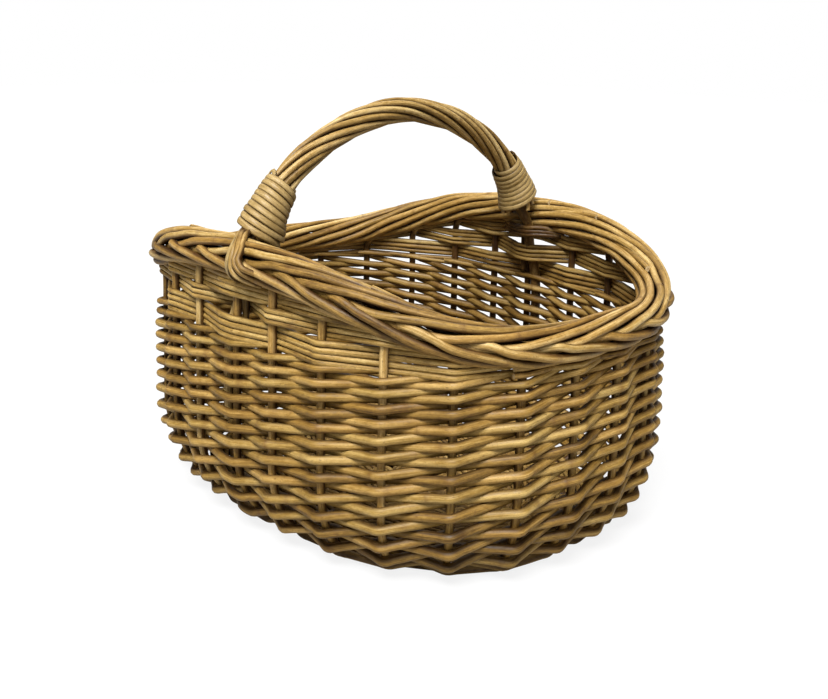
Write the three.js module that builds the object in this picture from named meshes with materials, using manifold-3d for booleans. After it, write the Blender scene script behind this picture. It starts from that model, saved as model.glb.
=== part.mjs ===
// Oval willow shopping basket with a fixed roped handle, in millimetres, +Z up.
// X runs along the oval, the handle crosses it in the plane x = 0, and the origin is on the
// floor under the middle. The basket is built up as a maker works: base, upsett wale, stakes,
// French randing, packing, border from the stakes' own tails, then the handle.
import * as THREE from 'three';
import { mergeVertices } from 'three/addons/utils/BufferGeometryUtils.js';
import Module from 'manifold-3d';

// The oval and the wall, measured to the middle of the weave
const stakeCount = 26;            // even, so that a stake stands at each end of the handle
const ovalPower = 2.6;            // 2 is an ellipse, more is squarer
const baseHalfLength = 172;
const baseHalfWidth = 124;
const rollOutAtEnds = 37;         // how far the belly stands out past the base
const rollOutAtSides = 44;
const drawInAtEnds = 4;           // how far the rim draws in again from the belly
const drawInAtSides = 3.6;
const bellyHeight = 71;
const rimHeightAtEnds = 176.5;    // middle of the border
const saddleRise = 42;            // from there up to the border's middle at the handle
const saddlePower = 3.15;         // how late the rim starts to rise towards the handle
const rollFacets = 5;             // straight stretches of a stake between base and belly

// The rods, as radii
const stakeButtRadius = 3;
const stakeTopRadius = 2.75;
const stakeTipRadius = 2.3;
const randButtRadius = 2.9;
const randTipRadius = 2.3;
const waleRadius = 2.5;
const packingRodRadius = 1.86;
const clearance = 0.35;           // between rods that lie against each other
const bendAllowance = 1.055;      // rods bent over stakes need this much more room than straight ones
const behindShare = 0.41;         // of the rise between two fronts, where a rod passes behind
const endTravel = 9;              // how far a rod's end runs past the stake that holds it
const rodSides = 5;

// Base, upsett and border
const baseCrown = 7;              // rise of the base's middle, so that it stands on its edge
const slathHalfLength = 92;       // the base's middle, where the long sticks are bound together
const slathHalfWidth = 22;
const stakeBedding = 24;          // how far a stake's butt is pushed into the base
const waleRounds = 3;
const footFlat = 1;               // how deep the floor cuts into the rods that pass lowest
const borderTwist = 31;           // degrees that a tail turns between two stakes, over the top

// The packing: rods laid side by side in each row, from the lowest row up
const packingRows = [4, 3, 4];
const thinnestShare = 0.4;        // a row ends where the border would press it thinner than this
const grooveShare = 0.45;         // of a rod's radius, where two rods of a row meet
const turnSteps = 3;              // bends where a row turns round a stake

// The handle
const bowInset = 23.4;            // from the border's middle in to where the bow springs from it
const bowRise = 97;
const bowPower = 1.1;
const bowRadius = 5.2;
const bowSteps = 16;
const bowSides = 6;
const legRadius = 2.75;           // the slyped ends that go down beside the stakes
const legDepth = 95;              // of the slyped ends below the border's middle
const ropingRadius = 9.6;
const ropingRods = 9;
const ropingGroove = 1.3;
const ropingTurns = 1.37;
const footSpread = 3.6;           // how much stouter the roping is at its foot
const footLength = 44;            // along the bow, to where that has died away
const ropingStart = 11;           // height of the roping's ends above the border's middle
const tieRadius = 2.1;
const tieCount = 3;
const tieSlant = 28;              // sideways travel of a tie on its way over the border
const tieRooting = 1;             // how far up the roping a tie starts
const lappingTurns = 9;
const lappingWidth = 3.3;
const lappingThickness = 2.4;
const lappingGap = 1.2;           // between one turn and the next, on the bow's middle line
const lappingSteps = 9;
const lappingStart = 6;           // along the bow, from the roping's end

const bellyHalfLength = baseHalfLength + rollOutAtEnds;
const bellyHalfWidth = baseHalfWidth + rollOutAtSides;
const rimHalfLength = bellyHalfLength - drawInAtEnds;
const rimHalfWidth = bellyHalfWidth - drawInAtSides;
const rimHeightAtHandle = rimHeightAtEnds + saddleRise;
const bowHalfSpan = rimHalfWidth - bowInset;

const wasm = await Module();
wasm.setup();

const up = new THREE.Vector3(0, 0, 1);
const handleStations = [0, stakeCount / 2];
const degrees = THREE.MathUtils.degToRad;

// Where things lie on the wall
// A station counts stakes from the near end of the handle, and a climb is the distance up the
// wall from the edge of the base, measured where the wall's roll is narrowest.
function ovalPoint(angle, halfLength, halfWidth) {
  const cosine = Math.cos(angle);
  const sine = Math.sin(angle);
  return new THREE.Vector3(
    halfLength * Math.sign(cosine) * Math.abs(cosine) ** (2 / ovalPower),
    halfWidth * Math.sign(sine) * Math.abs(sine) ** (2 / ovalPower),
    0,
  );
}

function evenStakeAngles() {
  const fineSteps = 7200;
  const start = -Math.PI / 2;
  const travelled = [0];
  let previous = ovalPoint(start, bellyHalfLength, bellyHalfWidth);
  for (let step = 1; step <= fineSteps; step += 1) {
    const next = ovalPoint(start + (2 * Math.PI * step) / fineSteps, bellyHalfLength, bellyHalfWidth);
    travelled.push(travelled[step - 1] + next.distanceTo(previous));
    previous = next;
  }
  const girth = travelled[fineSteps];
  const angles = [];
  for (let stake = 0; stake < stakeCount; stake += 1) {
    const step = travelled.findIndex((length) => length >= (girth * stake) / stakeCount - 1e-6);
    angles.push(start + (2 * Math.PI * step) / fineSteps);
  }
  return angles;
}

const stakeAngles = evenStakeAngles();
const wrap = (station) => ((station % stakeCount) + stakeCount) % stakeCount;
const angleAt = (station) => stakeAngles[wrap(station)];

function rimHeight(angle) {
  const rise = Math.abs(Math.sin(angle)) ** saddlePower;
  return rimHeightAtEnds + saddleRise * rise;
}

const waleOffset = stakeButtRadius + waleRadius + clearance;
const baseHeight = waleOffset + waleRadius * Math.cos(Math.PI / rodSides) - footFlat;

// The roll's knots: how far it has spread from base to belly, its height, and the climb so far
function wallKnots() {
  const span = Math.min(rollOutAtEnds, rollOutAtSides);
  const knots = [{ spread: 0, height: baseHeight, climb: 0 }];
  for (let facet = 1; facet <= rollFacets; facet += 1) {
    const turn = (Math.PI / 2) * (facet / rollFacets);
    const spread = Math.sin(turn);
    const height = baseHeight + (bellyHeight - baseHeight) * (1 - Math.cos(turn));
    const last = knots[facet - 1];
    const climb = last.climb + Math.hypot((spread - last.spread) * span, height - last.height);
    knots.push({ spread, height, climb });
  }
  return knots;
}

const knots = wallKnots();
const bellyClimb = knots[rollFacets].climb;
const climbToHeight = (height) => bellyClimb + height - bellyHeight;

function wallPoint(station, climb) {
  const angle = angleAt(station);
  if (climb < bellyClimb) {
    const facet = Math.max(1, knots.findIndex((knot) => knot.climb > climb));
    const low = knots[facet - 1];
    const high = knots[facet];
    const share = (climb - low.climb) / (high.climb - low.climb);
    const spread = THREE.MathUtils.lerp(low.spread, high.spread, share);
    const point = ovalPoint(
      angle,
      THREE.MathUtils.lerp(baseHalfLength, bellyHalfLength, spread),
      THREE.MathUtils.lerp(baseHalfWidth, bellyHalfWidth, spread),
    );
    return point.setZ(THREE.MathUtils.lerp(low.height, high.height, share));
  }
  const height = bellyHeight + climb - bellyClimb;
  const lean = (height - bellyHeight) / (rimHeight(angle) - bellyHeight);
  const point = ovalPoint(
    angle,
    THREE.MathUtils.lerp(bellyHalfLength, rimHalfLength, lean),
    THREE.MathUtils.lerp(bellyHalfWidth, rimHalfWidth, lean),
  );
  return point.setZ(height);
}

function ovalTangent(station) {
  const nudge = 1e-3;
  const ahead = ovalPoint(angleAt(station) + nudge, bellyHalfLength, bellyHalfWidth);
  const behind = ovalPoint(angleAt(station) - nudge, bellyHalfLength, bellyHalfWidth);
  return ahead.sub(behind).normalize();
}

function wallNormal(station, climb) {
  const nudge = stakeButtRadius + stakeTopRadius / 2;
  const above = wallPoint(station, climb + nudge);
  const below = wallPoint(station, Math.max(climb - nudge, 0));
  return ovalTangent(station).cross(above.sub(below)).normalize();
}

// Half of the turn that the wall makes from this stake to the next
function halfTurn(station) {
  return ovalTangent(station).angleTo(ovalTangent(station + 1)) / 2;
}

const spacing = wallPoint(0, bellyClimb).distanceTo(wallPoint(1, bellyClimb));

// How far a rod's axis stands off a stake's axis: at a bend the rod cuts the corner, so it
// stands off more where it passes in front on a tight curve
function standOff(station, touching, front) {
  const slope = Math.atan((2 * touching) / spacing);
  const curve = Math.max(halfTurn(station), halfTurn(station - 1));
  return touching / Math.cos(front ? slope + curve : slope);
}

// A handle station has a stake and the bow's leg side by side
const pairHalf = (stakeButtRadius + legRadius + clearance) / 2;
const pairStep = pairHalf + 1;
const isHandleStation = (station) => handleStations.includes(wrap(station));

// The points where a rod passes a stake, in front of it or behind
function passStake(station, climb, touching, front) {
  const sign = front ? 1 : -1;
  const offset = sign * standOff(station, touching, front);
  const spot = wallPoint(station, climb).addScaledVector(wallNormal(station, climb), offset);
  if (!isHandleStation(station)) return [spot];
  const along = ovalTangent(station);
  return [-pairStep, pairStep].map((step) => spot.clone().addScaledVector(along, step));
}

// Solids
// A closed tube through the points of a path. Section points are given as across and lift;
// without a lift direction the section is carried along the path without twisting.
function tubeGeometry(path, sectionAt, liftAt) {
  const positions = [];
  const triangles = [];
  const last = path.length - 1;
  let lift = null;
  let sides = 0;
  path.forEach((point, index) => {
    const before = path[Math.max(index - 1, 0)];
    const after = path[Math.min(index + 1, last)];
    const arriving = point.clone().sub(before).normalize();
    const leaving = after.clone().sub(point).normalize();
    const tangent = arriving.add(leaving).normalize();
    if (liftAt) lift = liftAt(index);
    else if (!lift) lift = Math.abs(tangent.z) < 0.9 ? up : new THREE.Vector3(1, 0, 0);
    lift = lift.clone().addScaledVector(tangent, -lift.dot(tangent)).normalize();
    const across = tangent.clone().cross(lift);
    const section = sectionAt(index);
    sides = section.length;
    section.forEach(([side, rise]) => {
      const corner = point.clone().addScaledVector(across, side).addScaledVector(lift, rise);
      positions.push(corner.x, corner.y, corner.z);
    });
  });
  for (let ring = 0; ring < last; ring += 1) {
    for (let side = 0; side < sides; side += 1) {
      const a = ring * sides + side;
      const b = ring * sides + ((side + 1) % sides);
      triangles.push(a, b, b + sides, a, b + sides, a + sides);
    }
  }
  for (let side = 1; side < sides - 1; side += 1) {
    const end = last * sides;
    triangles.push(0, side + 1, side, end, end + side, end + side + 1);
  }
  const geometry = new THREE.BufferGeometry();
  geometry.setAttribute('position', new THREE.Float32BufferAttribute(positions, 3));
  geometry.setIndex(triangles);
  return geometry;
}

function roundSection(radius, sides = rodSides) {
  const section = [];
  for (let side = 0; side < sides; side += 1) {
    const angle = (2 * Math.PI * side) / sides;
    section.push([radius * Math.sin(angle), radius * Math.cos(angle)]);
  }
  return section;
}

function toSolid(geometry) {
  const bare = new THREE.BufferGeometry();
  bare.setAttribute('position', geometry.attributes.position.clone());
  if (geometry.index) bare.setIndex(geometry.index.clone());
  const merged = mergeVertices(bare);
  const mesh = new wasm.Mesh({
    numProp: 3,
    vertProperties: merged.attributes.position.array,
    triVerts: new Uint32Array(merged.index.array),
  });
  return new wasm.Manifold(mesh);
}

function toGeometry(solid) {
  const mesh = solid.getMesh();
  const geometry = new THREE.BufferGeometry();
  geometry.setAttribute('position', new THREE.BufferAttribute(mesh.vertProperties, 3));
  geometry.setIndex(new THREE.BufferAttribute(mesh.triVerts, 1));
  return geometry;
}

const basket = new THREE.Group();
const finishes = {
  stake: { color: 0x8f7340, roughness: 0.62 },
  rand: { color: 0xa98a52, roughness: 0.6 },
  packing: { color: 0xb0935c, roughness: 0.6 },
  base: { color: 0x8a6f40, roughness: 0.7 },
  handle: { color: 0xa2834a, roughness: 0.55 },
  lapping: { color: 0xc9b384, roughness: 0.55 },
};

function addPiece(name, geometry, finish) {
  const shape = geometry.index ? geometry.toNonIndexed() : geometry;
  shape.computeVertexNormals();
  const material = new THREE.MeshStandardMaterial({ ...finishes[finish], metalness: 0 });
  const piece = new THREE.Mesh(shape, material);
  piece.name = name;
  basket.add(piece);
}

const twoDigits = (number) => String(number).padStart(2, '0');

// Upsett wale: one rod wound round the foot of the stakes, in front of two and behind one,
// with a step up to the next round before the first stake. Its underside is what stands.
const walePitch = bendAllowance * (2 * waleRadius + clearance);
const waleStart = waleRadius + clearance;

function upsettWale() {
  const path = [];
  const strokes = waleRounds * stakeCount;
  for (let stroke = 0; stroke < strokes; stroke += 1) {
    const round = Math.floor(stroke / stakeCount);
    path.push(...passStake(stroke, waleStart + round * walePitch, waleOffset, stroke % 3 !== 2));
  }
  const rod = toSolid(tubeGeometry(path, () => roundSection(waleRadius)));
  const floorDepth = 4 * waleRadius;
  const floorBlock = new THREE.BoxGeometry(4 * bellyHalfLength, 4 * bellyHalfWidth, floorDepth);
  floorBlock.translate(0, 0, -floorDepth / 2);
  return toGeometry(rod.subtract(toSolid(floorBlock)));
}

const waleTop = waleStart + (waleRounds - 1) * walePitch + waleRadius;

// French randing: a rod is started behind every stake and climbs one level at each stroke,
// in front of one stake and behind the next, so the fronts lie over each other in columns.
// The levels are further apart on the roll, where the rods inside the bowl crowd each other.
const strandGap = 2 * stakeTopRadius + clearance;
const borderCoreRadius = strandGap / Math.sin(degrees(borderTwist)) + clearance / 2;
const borderOuterRadius = borderCoreRadius + stakeTopRadius;
const randCeiling = climbToHeight(rimHeightAtEnds - borderOuterRadius - clearance);

function randLevels() {
  const levels = [waleTop + randButtRadius + 2 * clearance];
  const radii = [randButtRadius];
  for (let level = 1; levels[level - 1] + radii[level - 1] < randCeiling; level += 1) {
    const climbed = (levels[level - 1] - levels[0]) / (randCeiling - levels[0]);
    const radius = THREE.MathUtils.lerp(randButtRadius, randTipRadius, climbed);
    const inside = stakeButtRadius + radius + clearance;
    const crowding = levels[level - 1] < bellyClimb ? 1 - ((Math.PI / 2) * inside) / bellyClimb : 1;
    const pitch = bendAllowance * (radii[level - 1] + radius + clearance);
    radii.push(radius);
    levels.push(levels[level - 1] + pitch / crowding);
  }
  const full = levels.length - 2;
  const strokes = full - (full % 2);
  return { levels: levels.slice(0, strokes + 1), radii: radii.slice(0, strokes + 1) };
}

const rand = randLevels();
const randStrokes = rand.levels.length - 1;
const randTop = rand.levels[randStrokes] + rand.radii[randStrokes];

function randRod(firstStake) {
  const path = [];
  const radii = [];
  rand.levels.forEach((level, stroke) => {
    const touching = stakeButtRadius + rand.radii[stroke] + clearance;
    const front = stroke % 2 === 1;
    const [before, after] = [rand.levels[stroke - 1], rand.levels[stroke + 1]];
    const between = !front && stroke > 0 && stroke < randStrokes;
    const climb = between ? THREE.MathUtils.lerp(before, after, behindShare) : level;
    passStake(firstStake + stroke, climb, touching, front).forEach((point) => {
      path.push(point);
      radii.push(rand.radii[stroke]);
    });
  });
  const butt = path[0].clone().addScaledVector(ovalTangent(firstStake), -endTravel);
  const tip = path[path.length - 1].clone()
    .addScaledVector(ovalTangent(firstStake + randStrokes), endTravel);
  return tubeGeometry(
    [butt, ...path, tip],
    (index) => roundSection([randButtRadius, ...radii, randTipRadius][index]),
  );
}

// Stakes: each butt lies in the base, the rod turns up the wall and bends over beneath the
// border. Its tail passes two stakes outside, goes through to the inside, and comes up and over
// the tails of the stakes before it.
const baseMiddle = (share) => baseHeight + baseCrown * (1 - share * share);

// A point in the middle of the base's thickness, this far in from its edge at a stake
function bedPoint(stake, depth) {
  const edge = wallPoint(stake, 0);
  const inward = edge.clone().sub(wallPoint(stake, knots[1].climb)).setZ(0).normalize();
  const point = edge.clone().addScaledVector(inward, depth);
  return point.setZ(baseMiddle(1 - Math.max(depth, 0) / edge.setZ(0).length()));
}

const rimCentres = [];
for (let station = 0; station < stakeCount; station += 1) {
  const centre = ovalPoint(angleAt(station), rimHalfLength, rimHalfWidth);
  rimCentres.push(centre.setZ(rimHeight(angleAt(station))));
}

// Stakes passed, degrees round the border with 0 outside and 90 on top, and the distance from
// the border's middle as a share of its core's radius
const tailStart = [
  { passed: 0.12, turn: -92, reach: 1 },
  { passed: 1, turn: -55, reach: 1 },
  { passed: 2, turn: -17, reach: 1 },
  { passed: 2.6, turn: 8, reach: 0.77 },
  { passed: 3.3, turn: 239, reach: 0.77 },
];
const overTop = { from: 4, to: 9, firstTurn: 207 };

function borderSpotAtStake(station, turn, reach) {
  const here = rimCentres[wrap(station)];
  const along = rimCentres[wrap(station + 1)].clone().sub(rimCentres[wrap(station - 1)]).normalize();
  const outward = along.clone().cross(up).normalize();
  const lift = outward.clone().cross(along);
  return here.clone()
    .addScaledVector(outward, borderCoreRadius * reach * Math.cos(degrees(turn)))
    .addScaledVector(lift, borderCoreRadius * reach * Math.sin(degrees(turn)));
}

function borderSpot(station, turn, reach) {
  const low = Math.floor(station);
  const before = borderSpotAtStake(low, turn, reach);
  return before.lerp(borderSpotAtStake(low + 1, turn, reach), station - low);
}

function stakeRod(stake) {
  const sideStep = isHandleStation(stake) ? pairHalf : 0;
  const shift = ovalTangent(stake).multiplyScalar(sideStep);
  const path = [bedPoint(stake, stakeBedding).add(shift)];
  knots.forEach((knot) => path.push(wallPoint(stake, knot.climb).add(shift)));
  const riserTop = rimHeight(angleAt(stake)) - borderOuterRadius - clearance;
  path.push(wallPoint(stake, climbToHeight(riserTop)).add(shift));
  const riserPoints = path.length;
  tailStart.forEach(({ passed, turn, reach }, index) => {
    const back = index === 0 ? sideStep / spacing : 0;
    path.push(borderSpot(stake - passed + back, turn, reach));
  });
  for (let passed = overTop.from; passed <= overTop.to; passed += 1) {
    const turn = overTop.firstTurn - (passed - overTop.from) * borderTwist;
    path.push(borderSpot(stake - passed, turn, 1));
  }
  const last = path.length - 1;
  return tubeGeometry(path, (index) => {
    if (index < riserPoints) {
      return roundSection(THREE.MathUtils.lerp(stakeButtRadius, stakeTopRadius, index / riserPoints));
    }
    const tail = (index - riserPoints) / (last - riserPoints);
    return roundSection(THREE.MathUtils.lerp(stakeTopRadius, stakeTipRadius, tail));
  });
}

// Packing: a group of thin rods laid flat side by side, woven to and fro on one side of the
// basket to build up the saddle; it turns round a stake and comes back one row higher
function packingSection(rods) {
  const most = Math.max(...packingRows);
  const flank = [];
  for (let edge = 1 - most; edge < most; edge += 1) {
    const onRod = Math.abs(edge) % 2 === (most - 1) % 2;
    flank.push([onRod ? packingRodRadius : packingRodRadius * grooveShare, edge * packingRodRadius]);
  }
  const end = most * packingRodRadius;
  const otherFlank = flank.map(([side, rise]) => [-side, -rise]);
  const corners = [[0, end], ...flank.reverse(), [0, -end], ...otherFlank.reverse()];
  return corners.map(([side, rise]) => [side, (rise * rods) / most]);
}

function packing(middleStation) {
  const touching = stakeButtRadius + packingRodRadius + clearance;
  let bottom = wallPoint(0, randTop).z + clearance;
  const rows = packingRows.map((rods) => {
    const row = { rods, bottom, height: 2 * rods * packingRodRadius };
    bottom += row.height + clearance;
    return row;
  });

  // A row is pressed thinner where the border comes down to it
  const pressed = (row, away) => {
    const height = rimHeight(angleAt(middleStation + away));
    const rise = Math.abs(rimHeight(angleAt(middleStation + away + 1)) - height);
    const ceiling = height - borderOuterRadius * Math.hypot(1, rise / spacing) - 2 * clearance;
    const share = Math.min(1, (ceiling - row.bottom) / row.height);
    return { share, middle: row.bottom + (row.height * share) / 2, rods: row.rods * share };
  };
  rows.forEach((row) => {
    row.reach = 0;
    while (row.reach < stakeCount / 4 && pressed(row, row.reach + 1).share > thinnestShare) row.reach += 1;
  });

  const path = [];
  const sections = [];
  let away = -rows[0].reach;
  rows.forEach((row, index) => {
    const direction = index % 2 === 0 ? 1 : -1;
    const next = rows[index + 1];
    const steps = Math.abs(away) + (next || row).reach;
    for (let step = 0; step <= steps; step += 1) {
      const place = away + direction * step;
      const { middle, rods } = pressed(row, place);
      const points = passStake(
        middleStation + place, climbToHeight(middle), touching, (place + index) % 2 === 0);
      if (direction < 0) points.reverse();
      path.push(...points);
      points.forEach(() => sections.push(rods));
    }
    away += direction * steps;
    if (next) turnRound(away, pressed(row, away), pressed(next, away), direction, index);
  });

  // From one row to the next, half way round the stake where both end
  function turnRound(last, low, high, direction, index) {
    const side = (last + index) % 2 === 0 ? 1 : -1;
    const offset = touching / Math.cos(Math.PI / (2 * turnSteps));
    for (let step = 1; step < turnSteps; step += 1) {
      const share = step / turnSteps;
      const climb = climbToHeight(THREE.MathUtils.lerp(low.middle, high.middle, share));
      path.push(wallPoint(middleStation + last, climb)
        .addScaledVector(wallNormal(middleStation + last, climb), side * offset * Math.cos(Math.PI * share))
        .addScaledVector(ovalTangent(middleStation + last), direction * offset * Math.sin(Math.PI * share)));
      sections.push(THREE.MathUtils.lerp(low.rods, high.rods, share));
    }
  }
  return tubeGeometry(path, (index) => packingSection(sections[index]), () => up);
}

// Base: an oval mat, crowned in the middle. Its sticks fan out between the stakes, the weave
// rises over each of them and dips between, and a bed in its edge holds each stake. The sticks
// and the weave are one solid here.
// Each ring: share of the way from the slath to the edge, and half the base's thickness there
const baseRings = [
  { share: 0, overStick: 5.7, between: 5.7 },
  { share: 0.38, overStick: 5.7, between: 2.4 },
  { share: 0.7, overStick: 5.7, between: 4 },
  { share: 1, overStick: 4.5, between: 4.5 },
];

function angleHalfway(stake) {
  const turn = angleAt(stake + 1) - angleAt(stake);
  return angleAt(stake) + THREE.MathUtils.euclideanModulo(turn, 2 * Math.PI) / 2;
}

function baseShare(point) {
  const [x, y] = [Math.abs(point.x) / baseHalfLength, Math.abs(point.y) / baseHalfWidth];
  return (x ** ovalPower + y ** ovalPower) ** (1 / ovalPower);
}

function base() {
  const positions = [];
  const triangles = [];
  const columns = 2 * stakeCount;
  const rings = baseRings.length;
  const face = (direction) => {
    baseRings.forEach(({ share, overStick, between }) => {
      const halfLength = THREE.MathUtils.lerp(slathHalfLength, baseHalfLength - waleRadius, share);
      const halfWidth = THREE.MathUtils.lerp(slathHalfWidth, baseHalfWidth - waleRadius, share);
      for (let column = 0; column < columns; column += 1) {
        const onStick = column % 2 === 1;
        const angle = onStick ? angleHalfway((column - 1) / 2) : angleAt(column / 2);
        const point = ovalPoint(angle, halfLength, halfWidth);
        const thickness = onStick ? overStick : between;
        positions.push(point.x, point.y, baseMiddle(baseShare(point)) + direction * thickness);
      }
    });
    positions.push(0, 0, baseMiddle(0) + direction * baseRings[0].overStick);
  };
  face(1);
  const under = positions.length / 3;
  face(-1);
  const corner = (start, ring, column) => start + ring * columns + (column % columns);
  for (let column = 0; column < columns; column += 1) {
    triangles.push(under - 1, corner(0, 0, column), corner(0, 0, column + 1));
    triangles.push(2 * under - 1, corner(under, 0, column + 1), corner(under, 0, column));
    for (let ring = 0; ring < rings - 1; ring += 1) {
      const [a, b] = [corner(0, ring, column), corner(0, ring, column + 1)];
      const [c, d] = [corner(0, ring + 1, column), corner(0, ring + 1, column + 1)];
      triangles.push(a, c, d, a, d, b);
      triangles.push(a + under, d + under, c + under, a + under, b + under, d + under);
    }
    const [a, b] = [corner(0, rings - 1, column), corner(0, rings - 1, column + 1)];
    triangles.push(a, a + under, b + under, a, b + under, b);
  }
  const geometry = new THREE.BufferGeometry();
  geometry.setAttribute('position', new THREE.Float32BufferAttribute(positions, 3));
  geometry.setIndex(triangles);
  let solid = toSolid(geometry);
  for (let stake = 0; stake < stakeCount; stake += 1) {
    const sideStep = isHandleStation(stake) ? pairHalf : 0;
    const shift = ovalTangent(stake).multiplyScalar(sideStep);
    const bed = tubeGeometry([
      bedPoint(stake, stakeBedding + clearance).add(shift),
      bedPoint(stake, -waleRadius).add(shift),
    ], () => roundSection(stakeButtRadius + clearance / Math.cos(Math.PI / rodSides)));
    solid = solid.subtract(toSolid(bed));
  }
  return toGeometry(solid);
}

// Handle: the bow is one rod, thick over the arch, slyped below it to pass inside the border
// and go down through the weave beside the middle stake
function archPoint(turn) {
  const cosine = Math.cos(turn);
  return new THREE.Vector3(
    pairHalf * -cosine,
    -bowHalfSpan * Math.sign(cosine) * Math.abs(cosine) ** bowPower,
    rimHeightAtHandle + bowRise * Math.abs(Math.sin(turn)) ** bowPower,
  );
}

const fineArchSteps = 640;
const startTurn = Math.asin((ropingStart / bowRise) ** (1 / bowPower));

function archPath(steps) {
  const path = [];
  for (let step = 0; step <= steps; step += 1) {
    path.push(archPoint(THREE.MathUtils.lerp(startTurn, Math.PI - startTurn, step / steps)));
  }
  return path;
}

function fineArch() {
  const fine = archPath(fineArchSteps);
  const travelled = [0];
  fine.forEach((point, index) => {
    if (index > 0) travelled.push(travelled[index - 1] + point.distanceTo(fine[index - 1]));
  });
  return { fine, travelled };
}

const arch = fineArch();

function archFrame(distance) {
  const index = Math.max(1, arch.travelled.findIndex((length) => length >= distance));
  const share = (distance - arch.travelled[index - 1]) / (arch.travelled[index] - arch.travelled[index - 1]);
  const point = arch.fine[index - 1].clone().lerp(arch.fine[index], share);
  const along = arch.fine[index].clone().sub(arch.fine[index - 1]).normalize();
  const across = new THREE.Vector3(1, 0, 0).addScaledVector(along, -along.x).normalize();
  return { point, along, across, out: across.clone().cross(along) };
}

const halfTurnAbout = (point) => new THREE.Vector3(-point.x, -point.y, point.z);

// The bow and its roping lie across x, so their sections are turned from there
const sideways = () => new THREE.Vector3(1, 0, 0);

// Degrees round the border's middle, where the leg passes inside it: 270 is beneath, 180 inside
const legTurns = { first: 245, last: 185, step: 30 };

function legPath() {
  const passing = (borderOuterRadius + legRadius + clearance) / Math.cos(degrees(legTurns.step / 2));
  const path = [
    wallPoint(0, climbToHeight(rimHeightAtHandle - legDepth)),
    wallPoint(0, climbToHeight(rimHeightAtHandle - 2 * borderOuterRadius)),
  ];
  for (let turn = legTurns.first; turn >= legTurns.last; turn -= legTurns.step) {
    const outward = passing * Math.cos(degrees(turn));
    const lift = passing * Math.sin(degrees(turn));
    path.push(new THREE.Vector3(0, -rimHalfWidth - outward, rimHeightAtHandle + lift));
  }
  return path.map((point) => point.setX(-pairHalf));
}

function handleBow() {
  const nearLeg = legPath();
  const farLeg = nearLeg.map(halfTurnAbout).reverse();
  const arch = archPath(bowSteps);
  const path = [...nearLeg, ...arch, ...farLeg];
  const first = nearLeg.length;
  const last = first + arch.length - 1;
  return tubeGeometry(path, (index) => {
    const inArch = index >= first + 1 && index <= last - 1;
    const atEnd = index === first || index === last;
    const slype = atEnd ? (bowRadius + legRadius) / 2 : legRadius;
    return roundSection(inArch ? bowRadius : slype, bowSides);
  }, sideways);
}

// The roping's radius, which grows towards its feet
const ropingRadii = archPath(bowSteps).map((point, index) => {
  const distance = arch.travelled[(index * fineArchSteps) / bowSteps];
  const toFoot = Math.min(distance, arch.travelled[fineArchSteps] - distance);
  return ropingRadius + footSpread * Math.max(0, 1 - toFoot / footLength);
});

function ropingRadiusAt(distance) {
  const fineStep = arch.travelled.findIndex((length) => length >= distance);
  const place = (Math.max(fineStep, 0) * bowSteps) / fineArchSteps;
  const low = Math.min(Math.floor(place), bowSteps - 1);
  return THREE.MathUtils.lerp(ropingRadii[low], ropingRadii[low + 1], place - low);
}

function ropingSection(index) {
  const section = [];
  const turned = (2 * Math.PI * ropingTurns * index) / bowSteps;
  for (let corner = 0; corner < 2 * ropingRods; corner += 1) {
    const radius = ropingRadii[index] - (corner % 2 === 0 ? 0 : ropingGroove);
    const angle = turned + (Math.PI * corner) / ropingRods;
    section.push([radius * Math.sin(angle), radius * Math.cos(angle)]);
  }
  return section;
}

// Degrees round the border's middle, where the ties pass over it: 90 is on top, 0 outside
const tieTurns = { first: 120, last: -60, step: 45 };
const firstRootTurn = 95;         // degrees round the roping, where the first tie leaves it

function handleRoping() {
  const path = archPath(bowSteps);
  const outside = toSolid(tubeGeometry(path, ropingSection, sideways));
  const longPath = [
    path[0].clone().multiplyScalar(2).sub(path[1]),
    ...path,
    path[bowSteps].clone().multiplyScalar(2).sub(path[bowSteps - 1]),
  ];
  const boreRadius = bowRadius + clearance / Math.cos(Math.PI / bowSides);
  const bore = toSolid(tubeGeometry(longPath, () => roundSection(boreRadius, bowSides), sideways));
  let solid = outside.subtract(bore);
  const passing = (borderOuterRadius + tieRadius + 2 * clearance) / Math.cos(degrees(tieTurns.step / 2));
  const foot = archFrame(tieRooting);
  const rootRadius = ropingRadius - tieRadius;
  const rootStep = 2 * Math.asin((tieRadius + clearance / 2) / rootRadius);
  const bends = 1 + (tieTurns.first - tieTurns.last) / tieTurns.step;
  for (let tie = 0; tie < tieCount; tie += 1) {
    const rootTurn = degrees(firstRootTurn) - tie * rootStep;
    const root = foot.point.clone()
      .addScaledVector(foot.across, rootRadius * Math.cos(rootTurn))
      .addScaledVector(foot.out, rootRadius * Math.sin(rootTurn));
    const tiePath = [root];
    for (let bend = 0; bend < bends; bend += 1) {
      const turn = degrees(tieTurns.first - bend * tieTurns.step);
      tiePath.push(new THREE.Vector3(
        tie * (2 * tieRadius + clearance) + (tieSlant * (bend + 1)) / bends,
        -rimHalfWidth - passing * Math.cos(turn),
        rimHeightAtHandle + passing * Math.sin(turn),
      ));
    }
    [tiePath, tiePath.map(halfTurnAbout)].forEach((route) => {
      solid = solid.add(toSolid(tubeGeometry(route, () => roundSection(tieRadius))));
    });
  }
  return toGeometry(solid);
}

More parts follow.
